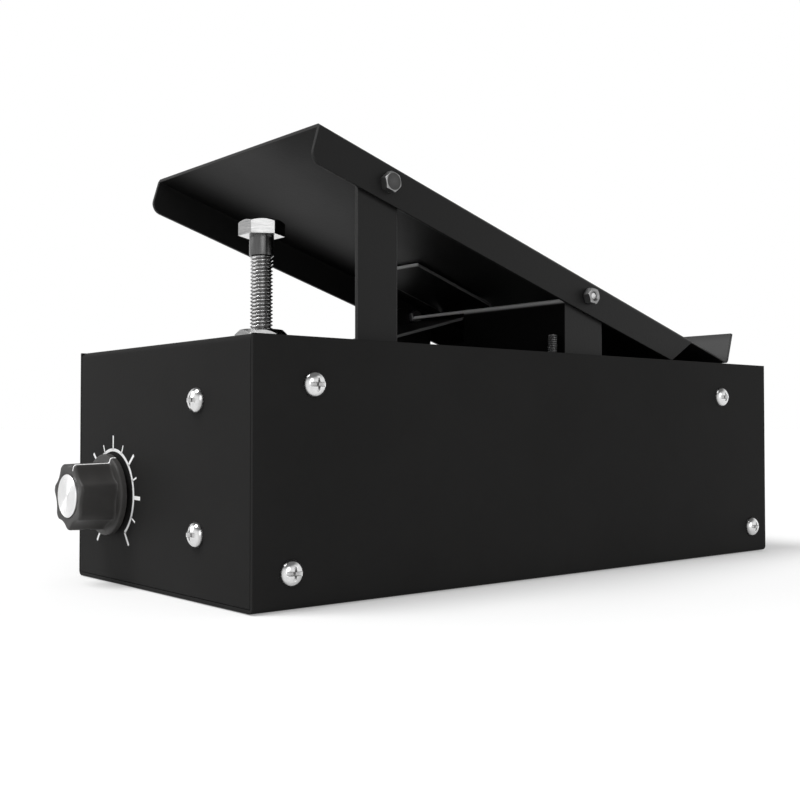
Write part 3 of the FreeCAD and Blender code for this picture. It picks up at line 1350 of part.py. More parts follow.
lid_nut = hex_nut("lid_nut_piece", S.screw_radius + S.run_fit, S.small_hex, S.small_nut)
lid_places = foot_screw_places() + bracket_screw_places() + [(rest_x, rest_y)]
keep(placed(lid_nut, "lid_nuts",
            [((across, along, inside_top - S.small_nut), Z) for across, along in lid_places]))
keep(rest_stop_screw())

keep(stop_nut())
weld_nut = keep(hex_nut("stop_weld_nut", S.bolt_radius + S.run_fit, S.bolt_hex, S.weld_nut_high))
place(weld_nut, 0, bolt_y, inside_top - S.weld_nut_high)
keep(stop_bolt())

# The tray and its pivots

keep(pedal_tray())
leg_inner = straddle - S.bracket_thick
rear_bolt_long = S.bracket_thick + S.side_fit + S.sheet + S.nut_gap + S.small_nut - S.rear_sunk
rear_bolt = hex_bolt("rear_bolt_piece", S.rear_pin, rear_bolt_long, S.rear_hex, S.rear_head)
keep(placed(rear_bolt, "rear_pivot_bolts",
            [((side * leg_inner, rear_pivot_y, rear_pivot_z), -side * X) for side in (-1, 1)]))
rear_nut = hex_nut("rear_nut_piece", S.rear_pin + S.run_fit, S.rear_hex, S.small_nut)
nut_face = tray_width / 2 + S.nut_gap
keep(placed(rear_nut, "rear_pivot_nuts",
            [((side * nut_face, rear_pivot_y, rear_pivot_z), side * X) for side in (-1, 1)]))
front_bolt_long = S.sheet + S.side_fit + S.leg_thick + S.nut_gap + S.small_nut + S.thread_spare
front_bolt = keep(hex_bolt("front_pivot_bolt", S.front_pin, front_bolt_long, S.front_hex, S.front_head))
place(front_bolt, tray_width / 2, front_pivot_y, front_pivot_z, X)
front_nut = keep(hex_nut("front_pivot_nut", S.front_pin + S.run_fit, S.front_hex, S.small_nut))
place(front_nut, straddle - S.leg_thick - S.nut_gap, front_pivot_y, front_pivot_z, -X)
keep(push_leg())

# The mechanism inside the box

keep(sector_lever())
keep(link_pin())
clip = keep(ring("link_clip", S.link_radius + S.seat_fit, S.clip_radius, S.clip_thick))
place(clip, straddle + S.nut_gap, front_pivot_y, link_z, X)
keep(mechanism_bracket())
stud = floor_stud()
keep(placed(stud, "floor_studs", [((across, along, 0.0), Z) for across, along in floor_stud_places()]))
floor_nut = hex_nut("floor_nut_piece", S.screw_radius + S.run_fit, S.small_hex, S.small_nut)
keep(placed(floor_nut, "floor_nuts", [((across, along, S.sheet + S.plate_thick), Z)
                                      for across, along in floor_stud_places()]))
plate_back = plate_x - S.plate_thick
lever_bolt_long = lever_x + S.lever_thick + S.nut_gap + S.lever_nut + S.thread_spare - plate_back
lever_bolt = keep(hex_bolt("lever_pivot_bolt", S.lever_bore, lever_bolt_long, S.lever_bolt_hex,
                           S.lever_bolt_head))
place(lever_bolt, plate_back, rear_pivot_y, lever_pivot_z, -X)
spacer = keep(ring("lever_spacer", S.lever_bore + S.run_fit, S.spacer_radius, S.plate_gap - S.nut_gap / 2))
place(spacer, plate_x, rear_pivot_y, lever_pivot_z, X)
lever_nut = keep(hex_nut("lever_pivot_nut", S.lever_bore + S.run_fit, S.lever_bolt_hex, S.lever_nut))
place(lever_nut, lever_x + S.lever_thick + S.nut_gap, rear_pivot_y, lever_pivot_z, X)

pedal_pot = keep(potentiometer("pedal_potentiometer"))
place(pedal_pot, plate_back, pot_y, pot_z, X)
pedal_pot_nut = keep(hex_nut("pedal_potentiometer_nut", S.pot_bush + S.run_fit, S.pot_nut, S.pot_nut_high))
place(pedal_pot_nut, plate_x, pot_y, pot_z, X)
shaft_in = S.pot_socket - S.pot_end_gap
pedal_shaft_long = lever_x + S.lever_thick + S.pinion_hub + S.thread_spare - plate_back + shaft_in
pedal_shaft = keep(rod("pedal_potentiometer_shaft", S.pot_shaft, pedal_shaft_long))
place(pedal_shaft, plate_back - shaft_in, pot_y, pot_z, X)
keep(pinion())

keep(microswitch())
switch_screw = small_screw("switch_screw_piece", S.switch_wide + S.plate_thick + S.thread_spare)
switch_face = plate_x + S.switch_wide
keep(placed(switch_screw, "microswitch_screws",
            [((switch_face, along, switch_screw_z), X) for along in switch_screw_places()]))
keep(switch_leaf())
keep(switch_plunger())

# The dial

dial_face = half_length - S.sheet
dial_pot = keep(potentiometer("dial_potentiometer"))
place(dial_pot, -S.dial_side, -dial_face, S.dial_height, -Y)
dial_nut = keep(hex_nut("dial_potentiometer_nut", S.pot_bush + S.run_fit, S.pot_nut, S.pot_nut_high))
place(dial_nut, -S.dial_side, -half_length, S.dial_height, -Y)
dial_shaft_long = shaft_in + S.sheet + S.knob_long - S.cap_deep - S.shaft_short
dial_shaft = keep(rod("dial_shaft", S.pot_shaft, dial_shaft_long))
place(dial_shaft, -S.dial_side, shaft_in - dial_face, S.dial_height, -Y)
keep(knob())
keep(knob_cap())
grub_long = S.knob_radius - S.flute_deep - S.pot_shaft - S.grub_gap - S.grub_in
grub = keep(rod("knob_set_screw", S.switch_screw, grub_long))
grub_height = (S.knob_gap + S.skirt_thick + S.knob_long) / 2
place(grub, -S.dial_side, -half_length - grub_height, S.dial_height - S.pot_shaft - S.grub_gap, -Z)

# The cable gland

keep(gland_body())
keep(gland_cap())
keep(gland_seal())
gland_nut = keep(hex_nut("gland_lock_nut", S.gland_thread + S.run_fit, S.gland_hex, S.gland_nut_high))
place(gland_nut, 0, dial_face, S.gland_height, -Y)


def check_and_write():
    """Stop on any failed feature or piece, then write each piece to its own file."""
    doc.recompute()
    for item in doc.Objects:
        if "Invalid" in item.State or "Error" in item.State:
            raise RuntimeError("%s is %s" % (item.Name, item.State))
    os.makedirs("parts", exist_ok=True)
    for piece in NODES:
        if piece.Shape.isNull() or not piece.Shape.isValid():
            raise RuntimeError(piece.Label + " has no valid shape")
    for piece in NODES:
        piece.Shape.exportStep(os.path.join("parts", piece.Label + ".step"))


check_and_write()
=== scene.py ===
import math

import bmesh
import bpy
import numpy as np
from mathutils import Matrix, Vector


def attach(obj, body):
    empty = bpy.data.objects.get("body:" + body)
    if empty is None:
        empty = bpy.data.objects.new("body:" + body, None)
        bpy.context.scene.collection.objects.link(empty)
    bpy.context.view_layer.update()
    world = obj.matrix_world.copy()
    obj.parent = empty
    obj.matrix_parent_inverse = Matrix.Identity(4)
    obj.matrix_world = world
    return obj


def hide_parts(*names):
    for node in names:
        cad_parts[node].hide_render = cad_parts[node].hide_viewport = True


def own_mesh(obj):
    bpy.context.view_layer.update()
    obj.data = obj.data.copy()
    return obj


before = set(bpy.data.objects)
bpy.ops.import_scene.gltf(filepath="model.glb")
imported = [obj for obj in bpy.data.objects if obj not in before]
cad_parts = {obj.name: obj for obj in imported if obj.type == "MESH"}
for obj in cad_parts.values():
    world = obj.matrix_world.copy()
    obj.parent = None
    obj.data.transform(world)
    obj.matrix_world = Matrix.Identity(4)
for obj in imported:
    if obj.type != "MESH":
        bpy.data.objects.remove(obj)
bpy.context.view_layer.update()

# Industrial foot switch: a black sheet-metal box with a dial on its toe face, and an inclined tray above it.
# Lengths in this file are millimetres in the CAD frame; they become metres when a mesh is made.

TURN = 2 * math.pi
METRE = 0.001
UP = (0, 0, 1)
NEAR_SIDE = (1, 0, 0)
FAR_SIDE = (-1, 0, 0)
TOE = (0, -1, 0)
HEEL = (0, 1, 0)

# The box's side, toe face and top, and the faces that the bracket's and the leaf's screws hold
SIDE_X, FACE_Y, TOP_Z = 57.5, -131.25, 80.0
BRACKET_TOP, LEAF_TOP = 81.5, 81.1


# Finishes: noise scales are patches a metre, radii and depths are metres


class Tie:
    """An output socket of a finish; arithmetic on it adds Math nodes and gives another output socket."""

    def __init__(self, finish, socket):
        self.finish = finish
        self.socket = socket

    def maths(self, operation, first, second, limited=False):
        settings = {"operation": operation, "use_clamp": limited}
        return self.finish.add("ShaderNodeMath", settings, {0: first, 1: second})

    def __add__(self, other):
        return self.maths("ADD", self, other)

    def __sub__(self, other):
        return self.maths("SUBTRACT", self, other)

    def __rsub__(self, other):
        return self.maths("SUBTRACT", other, self)

    def __mul__(self, other):
        return self.maths("MULTIPLY", self, other)

    __radd__ = __add__
    __rmul__ = __mul__

    def limited(self, gain):
        """The value times a gain, held between 0 and 1."""
        return self.maths("MULTIPLY", self, gain, limited=True)

    def sine(self):
        return self.maths("SINE", self, 0.0)


class Finish:
    """A material or a world under construction: one method adds any node, the rest are short ways."""

    def __init__(self, name, among="materials"):
        self.material = getattr(bpy.data, among).new(name)
        self.material.use_nodes = True
        self.nodes = self.material.node_tree.nodes
        self.links = self.material.node_tree.links
        self.nodes.clear()

    def add(self, kind, settings=None, sockets=None, out=0):
        """Add a node: settings first, then values or links for its sockets; returns one of its outputs."""
        node = self.nodes.new(kind)
        for name, value in (settings or {}).items():
            setattr(node, name, value)
        for name, value in (sockets or {}).items():
            if isinstance(value, Tie):
                self.links.new(value.socket, node.inputs[name])
            else:
                node.inputs[name].default_value = value
        return Tie(self, node.outputs[out]) if node.outputs else None

    def place(self):
        return self.add("ShaderNodeTexCoord", out="Object")

    def stretched(self, place, scale, shift=(0, 0, 0)):
        return self.add("ShaderNodeMapping", {}, {"Vector": place, "Scale": scale, "Location": shift})

    def coordinate(self, vector, axis):
        return self.add("ShaderNodeSeparateXYZ", {}, {"Vector": vector}, axis)

    def length(self, vector):
        return self.add("ShaderNodeVectorMath", {"operation": "LENGTH"}, {0: vector}, "Value")

    def painted_shade_and_bare_edge(self):
        """The mesh's own value: painted shade on metals, bared sheared edges on coats."""
        return self.add("ShaderNodeAttribute", {"attribute_name": "painted_shade_and_bare_edge"}, out="Fac")

    def noise(self, place, scale, detail=2.0, roughness=0.5):
        sockets = {"Vector": place, "Scale": scale, "Detail": detail, "Roughness": roughness}
        return self.add("ShaderNodeTexNoise", {}, sockets)

    def blend(self, share, first, second):
        """A colour between two others."""
        colours = [value if isinstance(value, Tie) else (*value, 1.0) for value in (first, second)]
        sockets = {0: share, 6: colours[0], 7: colours[1]}
        return self.add("ShaderNodeMix", {"data_type": "RGBA"}, sockets, 2)

    def rounded(self, radius):
        """The surface's direction as if its edges were rounded to a radius in metres."""
        return self.add("ShaderNodeBevel", {"samples": 6}, {"Radius": radius})

    def worn_and_highlit_edge(self, rounded, gain):
        """How near an edge is: one less the cosine between rounded and true direction, times a gain."""
        both = {0: rounded, 1: self.add("ShaderNodeNewGeometry", out="Normal")}
        cosine = self.add("ShaderNodeVectorMath", {"operation": "DOT_PRODUCT"}, both, "Value")
        return (1 - cosine).limited(gain)

    def relief(self, height, depth, under=None):
        """Bump from a height between 0 and 1 that stands for a depth in metres."""
        sockets = {"Height": height, "Distance": depth, "Strength": 1.0}
        if under is not None:
            sockets["Normal"] = under
        return self.add("ShaderNodeBump", {}, sockets)

    def shader(self, **sockets):
        """The principled shader; underscores in names stand for spaces."""
        named = {name.replace("_", " "): value for name, value in sockets.items()}
        colour = named["Base Color"]
        named["Base Color"] = colour if isinstance(colour, Tie) else (*colour, 1.0)
        return self.add("ShaderNodeBsdfPrincipled", {}, named)

    def surface(self, **sockets):
        """Close the finish with one shader."""
        return self.closed(self.shader(**sockets))

    def closed(self, shader):
        self.add("ShaderNodeOutputMaterial", {}, {"Surface": shader})
        return self.material


def grey(value, warm=0.0):
    """A grey; warm shifts a share of it from blue to red."""
    return (value * (1 + warm), value, value * (1 - warm))


SHEARED_TONE = 0.20


def powder_coat(name, tone, gloss, shine, edge_wear_and_highlight_tone, painted_highlight=None, painted_shade_zone=None):
    """Powder coat: an orange-peel ripple near 1 mm under a finer one, cloudy tone, edges a shade paler, part
    wear and part painted highlight, and sheared edges bared where the mesh's own value says so. A painted
    highlight along X has a Y, a height, a reach, a tone and a least X. Painted shade: a face ahead of a Y
    and below a height, under the parts round it, is painted a deep matt black."""
    coat = Finish(name)
    place = coat.place()
    peel = coat.noise(place, 900.0)
    grain = coat.noise(place, 3800.0)
    cloud = coat.noise(place, 28.0, 4.0, 0.6)
    rounded = coat.rounded(0.0005)
    worn_and_highlit_edge = coat.worn_and_highlit_edge(rounded, 5.0)
    body = coat.blend(cloud, grey(tone * 0.82, 0.01), grey(tone * 1.18, 0.01))
    # Edges paler: part wear, part painted highlight
    colour = coat.blend(worn_and_highlit_edge * (0.35 + 0.5 * grain), body, grey(edge_wear_and_highlight_tone))
    colour = coat.blend(coat.painted_shade_and_bare_edge() * (0.4 + 0.6 * grain), colour, grey(SHEARED_TONE))
    rough = gloss + 0.10 * (cloud - 0.5) + 0.06 * (grain - 0.5)
    # Painted highlight: a bright band painted along X, a little glossier
    if painted_highlight:
        along, height, reach, bright, least = painted_highlight
        distance = coat.length(coat.stretched(place, (0, 1, 1), (0, -along * METRE, -height * METRE)))
        bare_edge_and_painted_highlight = (1.4 - distance * (1.4 / (reach * METRE))).limited(1.0) * (0.7 + 0.3 * grain)
        bare_edge_and_painted_highlight = bare_edge_and_painted_highlight * (coat.coordinate(place, "X") - least * METRE).limited(2000.0)
        colour = coat.blend(bare_edge_and_painted_highlight, colour, grey(bright))
        rough = rough - 0.12 * bare_edge_and_painted_highlight
    ripple = coat.relief(0.65 * peel + 0.35 * grain, 0.00005, rounded)
    open_side = coat.shader(Base_Color=colour, Roughness=rough, Normal=ripple, Specular_IOR_Level=shine)
    if not painted_shade_zone:
        return coat.closed(open_side)
    # Painted shade: ahead of the Y and below the height the coat is painted near black, matt and with little
    # shine
    along, height = painted_shade_zone
    ahead = (along * METRE - coat.coordinate(place, "Y")).limited(4000.0)
    below = (height * METRE - coat.coordinate(place, "Z")).limited(1500.0)
    painted_shade_black = coat.blend(cloud, grey(tone * 0.14), grey(tone * 0.26))
    painted_shade_side = coat.shader(Base_Color=painted_shade_black, Roughness=0.7 + 0.1 * (grain - 0.5), Normal=ripple,
                             Specular_IOR_Level=0.02)
    sides = {0: ahead * below, 1: open_side, 2: painted_shade_side}
    return coat.closed(coat.add("ShaderNodeMixShader", {}, sides))


def plated(name, tone, gloss, lines, depth=0.000012, edge=0.00018, dull=0.7, painted_shade_and_bare_edge=0.12, worn_and_highlight_tone=0.85):
    """Plated steel: rub lines from noise stretched by three scales per metre, a clouded plate, edges paler as
    part wear and part painted highlight, and painted shade where the mesh's own value marks it: in a thread's
    roots, in a pan head's recess and towards its rim, and on a bolt's face."""
    metal = Finish(name)
    place = metal.place()
    streak = metal.noise(metal.stretched(place, lines), 1.0, 3.0, 0.6)
    cloud = metal.noise(place, 420.0, 3.0, 0.6)
    painted_shade_share = metal.painted_shade_and_bare_edge()
    rounded = metal.rounded(edge)
    worn_and_highlit_edge = metal.worn_and_highlit_edge(rounded, 4.0)
    plate = metal.blend((streak - 0.25).limited(2.0), grey(tone * dull, -0.01), grey(tone))
    clouded = metal.blend(cloud * 0.35, plate, grey(tone * 0.75, 0.02))
    # Edges paler: part wear, part painted highlight
    bright = metal.blend(worn_and_highlit_edge * 0.6, clouded, grey(worn_and_highlight_tone))
    colour = metal.blend(painted_shade_share * 0.85, bright, grey(painted_shade_and_bare_edge, 0.03))
    rough = gloss + 0.16 * (streak - 0.5) + 0.10 * (cloud - 0.5) + 0.25 * painted_shade_share
    ripple = metal.relief(0.7 * streak + 0.3 * cloud, depth, rounded)
    return metal.surface(Base_Color=colour, Metallic=1.0, Roughness=rough, Normal=ripple)


def moulded(name, tone, gloss, grain_scale, shine=0.35, warm=0.0, edge_wear_and_highlight_tone=0.06):
    """Moulded plastic: a fine eroded grain, a cloudy gloss and softly paler edges, part wear and part painted
    highlight.
    """
    plastic = Finish(name)
    place = plastic.place()
    grain = plastic.noise(place, grain_scale)
    cloud = plastic.noise(place, 160.0, 3.0)
    rounded = plastic.rounded(0.0004)
    worn_and_highlit_edge = plastic.worn_and_highlit_edge(rounded, 3.0)
    body = plastic.blend(cloud, grey(tone * 0.8, warm), grey(tone * 1.2, warm))
    # Edges paler: part wear, part painted highlight
    colour = plastic.blend(worn_and_highlit_edge * 0.5, body, grey(edge_wear_and_highlight_tone, warm))
    rough = gloss + 0.12 * (cloud - 0.5) + 0.08 * (grain - 0.5)
    ripple = plastic.relief(grain, 0.000018, rounded)
    return plastic.surface(Base_Color=colour, Roughness=rough, Normal=ripple, Specular_IOR_Level=shine)


def turned_metal(name, tone, centre, pitch):
    """A face turned on a lathe: grooves at a pitch about a centre on the toe face, with a few deeper ones."""
    metal = Finish(name)
    shift = [-value * METRE for value in centre]
    flat = metal.stretched(metal.place(), (1, 0, 1), (shift[0], 0, shift[2]))
    reach = metal.length(flat)
    groove = (reach * (TURN / (pitch * METRE))).sine()
    wander = metal.noise(metal.place(), 700.0, 3.0)
    rings = metal.noise(metal.add("ShaderNodeCombineXYZ", {}, {"X": reach * 5200.0}), 1.0)
    rounded = metal.rounded(0.0002)
    colour = metal.blend(rings.limited(1.0), grey(tone * 0.78), grey(tone))
    rough = 0.20 + 0.14 * rings + 0.06 * wander
    ripple = metal.relief(0.4 * groove + 0.8 * rings, 0.00008, rounded)
    return metal.surface(Base_Color=colour, Metallic=1.0, Roughness=rough, Normal=ripple)


def ink(name, tone):
    """Screen-printed ink: nearly white, thin in places so that its tone and gloss wander a little."""
    print_ = Finish(name)
    place = print_.place()
    mottle = print_.noise(place, 2600.0, 3.0, 0.6)
    cloud = print_.noise(place, 300.0)
    colour = print_.blend(mottle, grey(tone * 0.9), grey(tone))
    ripple = print_.relief(mottle, 0.00001)
    return print_.surface(Base_Color=colour, Roughness=0.5 + 0.12 * (cloud - 0.5), Normal=ripple,
                          Specular_IOR_Level=0.3)


def drawn_brass(name):
    """Brass, tarnished in patches."""
    metal = Finish(name)
    tarnish = metal.noise(metal.place(), 500.0, 3.0)
    colour = metal.blend(tarnish, (0.62, 0.44, 0.18), (0.80, 0.62, 0.30))
    return metal.surface(Base_Color=colour, Metallic=1.0, Roughness=0.26 + 0.16 * tarnish,
                         Normal=metal.relief(tarnish, 0.00001))


# Painted highlights: bright lines painted along the tray's heel lip, the bend of the bracket's shelf and the
# leaf's front edge
LIP_PAINTED_HIGHLIGHT = (114.8, 87.5, 11.0, 0.070, -60)
SHELF_PAINTED_HIGHLIGHT = (9.37, 101.17, 1.9, 0.80, -36)
LEAF_PAINTED_HIGHLIGHT = (-15.2, 117.7, 1.3, 0.80, -60)
# Painted shade: the bracket's faces ahead of this Y and below this height, under the tray
BRACKET_PAINTED_SHADE = (9.9, 99.6)

box_coat = powder_coat("box_coat", 0.0185, 0.52, 0.022, 0.022)
tray_coat = powder_coat("tray_coat", 0.0098, 0.44, 0.14, 0.030, LIP_PAINTED_HIGHLIGHT)
strap_coat = powder_coat("strap_coat", 0.0105, 0.36, 0.16, 0.110)
bracket_coat = powder_coat("bracket_coat", 0.0105, 0.36, 0.16, 0.030, SHELF_PAINTED_HIGHLIGHT, BRACKET_PAINTED_SHADE)
leaf_coat = powder_coat("leaf_coat", 0.0045, 0.40, 0.05, 0.500, LEAF_PAINTED_HIGHLIGHT)
head_zinc = plated("head_zinc", 0.80, 0.13, (900, 900, 900), dull=0.8)
brushed_zinc = plated("brushed_zinc", 0.40, 0.20, (260, 260, 5200), depth=0.00002, dull=0.5)
# A paler zinc; on the stop bolt's under face it is a painted reflection of the floor below
under_zinc = plated("under_zinc", 0.78, 0.24, (900, 900, 900))
shank_zinc = plated("shank_zinc", 0.13, 0.26, (2400, 2400, 160), dull=0.6, worn_and_highlight_tone=0.3)
thread_zinc = plated("thread_zinc", 0.74, 0.18, (1500, 1500, 500), painted_shade_and_bare_edge=0.10)
stud_zinc = plated("stud_zinc", 0.30, 0.16, (1500, 1500, 500), painted_shade_and_bare_edge=0.02, worn_and_highlight_tone=0.3)
nut_zinc = plated("nut_zinc", 0.34, 0.22, (400, 400, 2600), dull=0.6)
pivot_nickel = plated("pivot_nickel", 0.34, 0.42, (2200, 2200, 2200), dull=0.6, edge=0.00025, worn_and_highlight_tone=0.9,
                      painted_shade_and_bare_edge=0.03)
hidden_zinc = plated("hidden_zinc", 0.66, 0.34, (700, 700, 700))
bare_steel = plated("bare_steel", 0.50, 0.34, (2600, 500, 500), dull=0.75)
brass = drawn_brass("brass")
knob_plastic = moulded("knob_plastic", 0.042, 0.44, 5200.0, 0.20, 0.03, 0.048)
gland_plastic = moulded("gland_plastic", 0.018, 0.42, 4200.0)
switch_plastic = moulded("switch_plastic", 0.030, 0.50, 3000.0)
strip_plastic = moulded("strip_plastic", 0.022, 0.45, 3600.0)
phenolic = moulded("phenolic", 0.050, 0.48, 2400.0, 0.3, 0.35, 0.09)
seal_rubber = moulded("seal_rubber", 0.014, 0.72, 2000.0, 0.2)
scale_ink = ink("scale_ink", 0.95)


# Surfaces, each drawn about its own upright axis


def turned(radius, height, angles, painted_shade_and_bare_edge=0.0):
    """Points at (radius cos a, radius sin a, height), with a fourth number that marks painted shade on metals
    and bared edges on coats; any may vary along the rows and round the axis."""
    radius, height, angles, painted_shade_and_bare_edge = np.broadcast_arrays(radius, height, angles, painted_shade_and_bare_edge)
    return np.stack([radius * np.cos(angles), radius * np.sin(angles), height, painted_shade_and_bare_edge], axis=-1)


def column(values):
    return np.asarray(values, float)[:, None]


def round_angles(count):
    return np.linspace(0.0, TURN, count + 1)


def hex_reach(angles, flats):
    """Distance from the axis to a hexagon's side: half the flats over the cosine of the angle from the
    nearest flat's middle, with a corner at angle zero."""
    sixth = TURN / 6
    return flats / 2 / np.cos(np.mod(angles, sixth) - sixth / 2)


def hexagonal(flats, low, high, bore=0.0, rim=0.3, slope=0.6, under=False, lead=0.0, face=0.0):
    """A hexagon whose corners are turned off by a cone: at each angle the side runs up to the height where
    the cone's radius equals the hexagon's, then in along the cone to a flat ring. The bore has a lead-in.
    The face inside the cone has a painted shade of its own."""
    angles = round_angles(72)
    side = hex_reach(angles, flats)
    ring = np.full_like(side, flats / 2 - rim)
    drop = (side - ring) * slope
    level = np.ones_like(side)
    rows = [(bore * level, low * level)]
    if under:
        rows += [(ring, low * level), (side, low + drop)]
    else:
        rows += [(side, low * level)]
    rows += [(side, high - drop), (ring, high * level)]
    face_from = len(rows)
    rows += [(0.97 * ring, high * level), ((bore + lead) * level, high * level)]
    if bore:
        rows += [(bore * level, (high - lead) * level), rows[0]]
    radius, height = (np.array(values) for values in zip(*rows))
    return turned(radius, height, angles, face * column(np.arange(len(rows)) >= face_from))


def thread(major, pitch, low, high, bore=0.0, around=48):
    """A screw thread: the radius follows height over pitch less angle over a full turn, up and down between
    root and crest. The grid's rows climb with the helix and are held between the two ends, each of which
    has a 45 degree lead; the painted shade is one at the root and zero at the crest."""
    minor = major - 0.61 * pitch
    angles = round_angles(around)
    share = angles / TURN
    turns = int(math.ceil((high - low) / pitch)) + 1
    steps = (np.arange(turns)[:, None] + np.array([0.0, 0.14, 0.30, 0.50, 0.62, 0.82])).ravel()
    height = np.clip(low + (column(steps) - 1 + share) * pitch, low, high)
    phase = np.mod((height - low) / pitch - share, 1.0)
    crest = np.interp(phase, [0.0, 0.14, 0.50, 0.62, 1.0], [1.0, 1.0, 0.0, 0.0, 1.0])
    lead = minor + np.minimum(height - low, high - height)
    radius = np.minimum(minor + (major - minor) * crest, np.maximum(lead, minor))
    ends = [turned(column([bore]), column([level]), angles) for level in (low, high)]
    rows = [ends[0], turned(radius, height, angles, np.clip(1 - 2.2 * crest, 0.0, 1.0)), ends[1]]
    if bore:
        rows.append(ends[0])
    return np.concatenate(rows)


def lathe(profile, around=64):
    """A profile of radius and height pairs carried round the axis."""
    radius, height = np.asarray(profile, float).T
    return turned(column(radius), column(height), round_angles(around))


def disc_grid(ticks):
    """A square grid laid over the unit disc: the middle stays square, and from 0.55 of the way out each
    ring of the square is drawn in by a growing share until the outermost is the circle."""
    square_until = 0.55
    across, up = np.meshgrid(ticks, ticks, indexing="ij")
    square = np.maximum(abs(across), abs(up))
    length = np.hypot(across, up)
    circle = np.divide(square, length, out=np.ones_like(length), where=length > 0)
    share = np.clip((square - square_until) / (1 - square_until), 0.0, 1.0)
    pull = 1 - share + share * circle
    return across * pull, up * pull


def arm(along, across, reach, half, wall=0.03):
    """One in a recess's arm and zero outside it, over a narrow wall."""
    sides = np.clip((half - abs(across)) / wall + 0.5, 0.0, 1.0)
    ends = np.clip((reach - abs(along)) / wall + 0.5, 0.0, 1.0)
    return sides * ends


def pan_head(radius, height):
    """A pan head: height (1 - r^2.2)^(1/2) over the disc. A slot with a level floor crosses it, and a shorter
    arm stands across the slot, its floor rising from the middle until it meets the dome. The grid's outer
    edge is carried in under the head to the middle."""
    steps = np.array([0, .05, .085, .10, .115, .14, .155, .17, .20, .25, .32, .39, .46, .52, .57, .60, .64,
                      .66, .68, .73, .79, .84, .885, .92, .95, .975, .992, 1.0])
    ticks = np.concatenate([-steps[:0:-1], steps])
    across, up = disc_grid(ticks)
    reach = np.hypot(across, up)
    dome = height * np.sqrt(np.clip(1 - reach ** 2.2, 0, 1))
    slot = arm(across, up, reach=0.66, half=0.15)
    cross = arm(up, across, reach=0.62, half=0.10)
    slot_floor = height * 0.70
    cross_floor = height * (0.50 + 0.58 * abs(up))
    level = dome + slot * np.minimum(slot_floor - dome, 0.0)
    level = np.minimum(level, dome + cross * np.minimum(cross_floor - dome, 0.0))
    # Painted shade: darker in the slot and the cross arm, and in a ring towards the dome's rim
    painted_shade_and_bare_edge = 0.9 * np.clip((dome - level) / height / 0.45, 0.0, 1.0)
    rim = 0.6 * np.clip((reach - 0.84) / 0.16, 0.0, 1.0)
    top = np.stack([across * radius, up * radius, level, np.maximum(painted_shade_and_bare_edge, rim)], axis=-1)
    edge = np.concatenate([top[0, :-1], top[:-1, -1], top[-1, :0:-1], top[::-1, 0]])
    under = [edge * np.array([share, share, 1.0, 0.0]) for share in (1.0, 0.5, 0.0)]
    return [top, np.stack(under)]


def set_down(grid, origin, axis=UP, spin=0.0):
    """Turn a grid about its own axis by degrees, lay that axis along another, and move it to a place."""
    angle = math.radians(spin)
    about = np.array([[math.cos(angle), -math.sin(angle), 0], [math.sin(angle), math.cos(angle), 0],
                      [0, 0, 1]])
    lay = np.array(Vector(UP).rotation_difference(Vector(axis)).to_matrix())
    moved = grid.copy()
    moved[..., :3] = grid[..., :3] @ (lay @ about).T + np.asarray(origin, float)
    return moved


def make_piece(name, skins, body, stands_for=(), sharp=32.0):
    """One object from pairs of a grid and its finish. Each grid cell is a face; points that meet are merged,
    which closes seams and poles, and the faces are turned outwards."""
    points, faces, kinds = [], [], []
    finishes = []
    start = 0
    for grid, finish in skins:
        if finish not in finishes:
            finishes.append(finish)
        rows, columns = grid.shape[:2]
        index = start + np.arange(rows * columns).reshape(rows, columns)
        cells = np.stack([index[:-1, :-1], index[:-1, 1:], index[1:, 1:], index[1:, :-1]], axis=-1)
        points.append(grid.reshape(-1, 4))
        faces.append(cells.reshape(-1, 4))
        kinds.append(np.full(cells.shape[0] * cells.shape[1], finishes.index(finish)))
        start += rows * columns
    points, faces, kinds = np.concatenate(points), np.concatenate(faces), np.concatenate(kinds)
    mesh = bpy.data.meshes.new(name)
    mesh.vertices.add(len(points))
    mesh.vertices.foreach_set("co", (points[:, :3] * METRE).ravel())
    mesh.loops.add(faces.size)
    mesh.loops.foreach_set("vertex_index", faces.ravel())
    mesh.polygons.add(len(faces))
    mesh.polygons.foreach_set("loop_start", np.arange(len(faces)) * 4)
    mesh.polygons.foreach_set("material_index", kinds)
    painted_shade_and_bare_edge = mesh.attributes.new("painted_shade_and_bare_edge", "FLOAT", "POINT")
    painted_shade_and_bare_edge.data.foreach_set("value", points[:, 3].copy())
    mesh.update(calc_edges=True)
    shell = bmesh.new()
    shell.from_mesh(mesh)
    bmesh.ops.remove_doubles(shell, verts=shell.verts, dist=2e-6)
    bmesh.ops.dissolve_degenerate(shell, edges=shell.edges, dist=1e-7)
    bmesh.ops.recalc_face_normals(shell, faces=shell.faces)
    shell.to_mesh(mesh)
    shell.free()
    mesh.polygons.foreach_set("use_smooth", np.ones(len(mesh.polygons), bool))
    mesh.set_sharp_from_angle(angle=math.radians(sharp))
    for finish in finishes:
        mesh.materials.append(finish)
    piece = bpy.data.objects.new(name, mesh)
    bpy.context.scene.collection.objects.link(piece)
    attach(piece, body)
    if stands_for:
        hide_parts(*stands_for)
    return piece


# Pan-head screws

PAN_RADIUS, PAN_HEIGHT = 4.0, 2.6
SCREW_RADIUS, SCREW_PITCH = 2.0, 0.7


def pan_screws(name, node, spots, length):
    """Every screw of one group, head and threaded shank, each at its place, its slot turned by degrees."""
    head = pan_head(PAN_RADIUS, PAN_HEIGHT)
    shank = thread(SCREW_RADIUS, SCREW_PITCH, -length, 0.4, around=20)
    skins = []
    for origin, axis, spin in spots:
        skins += [(set_down(grid, origin, axis, spin), head_zinc) for grid in head]
        skins.append((set_down(shank, origin, axis), thread_zinc))
    make_piece(name, skins, "housing", [node])


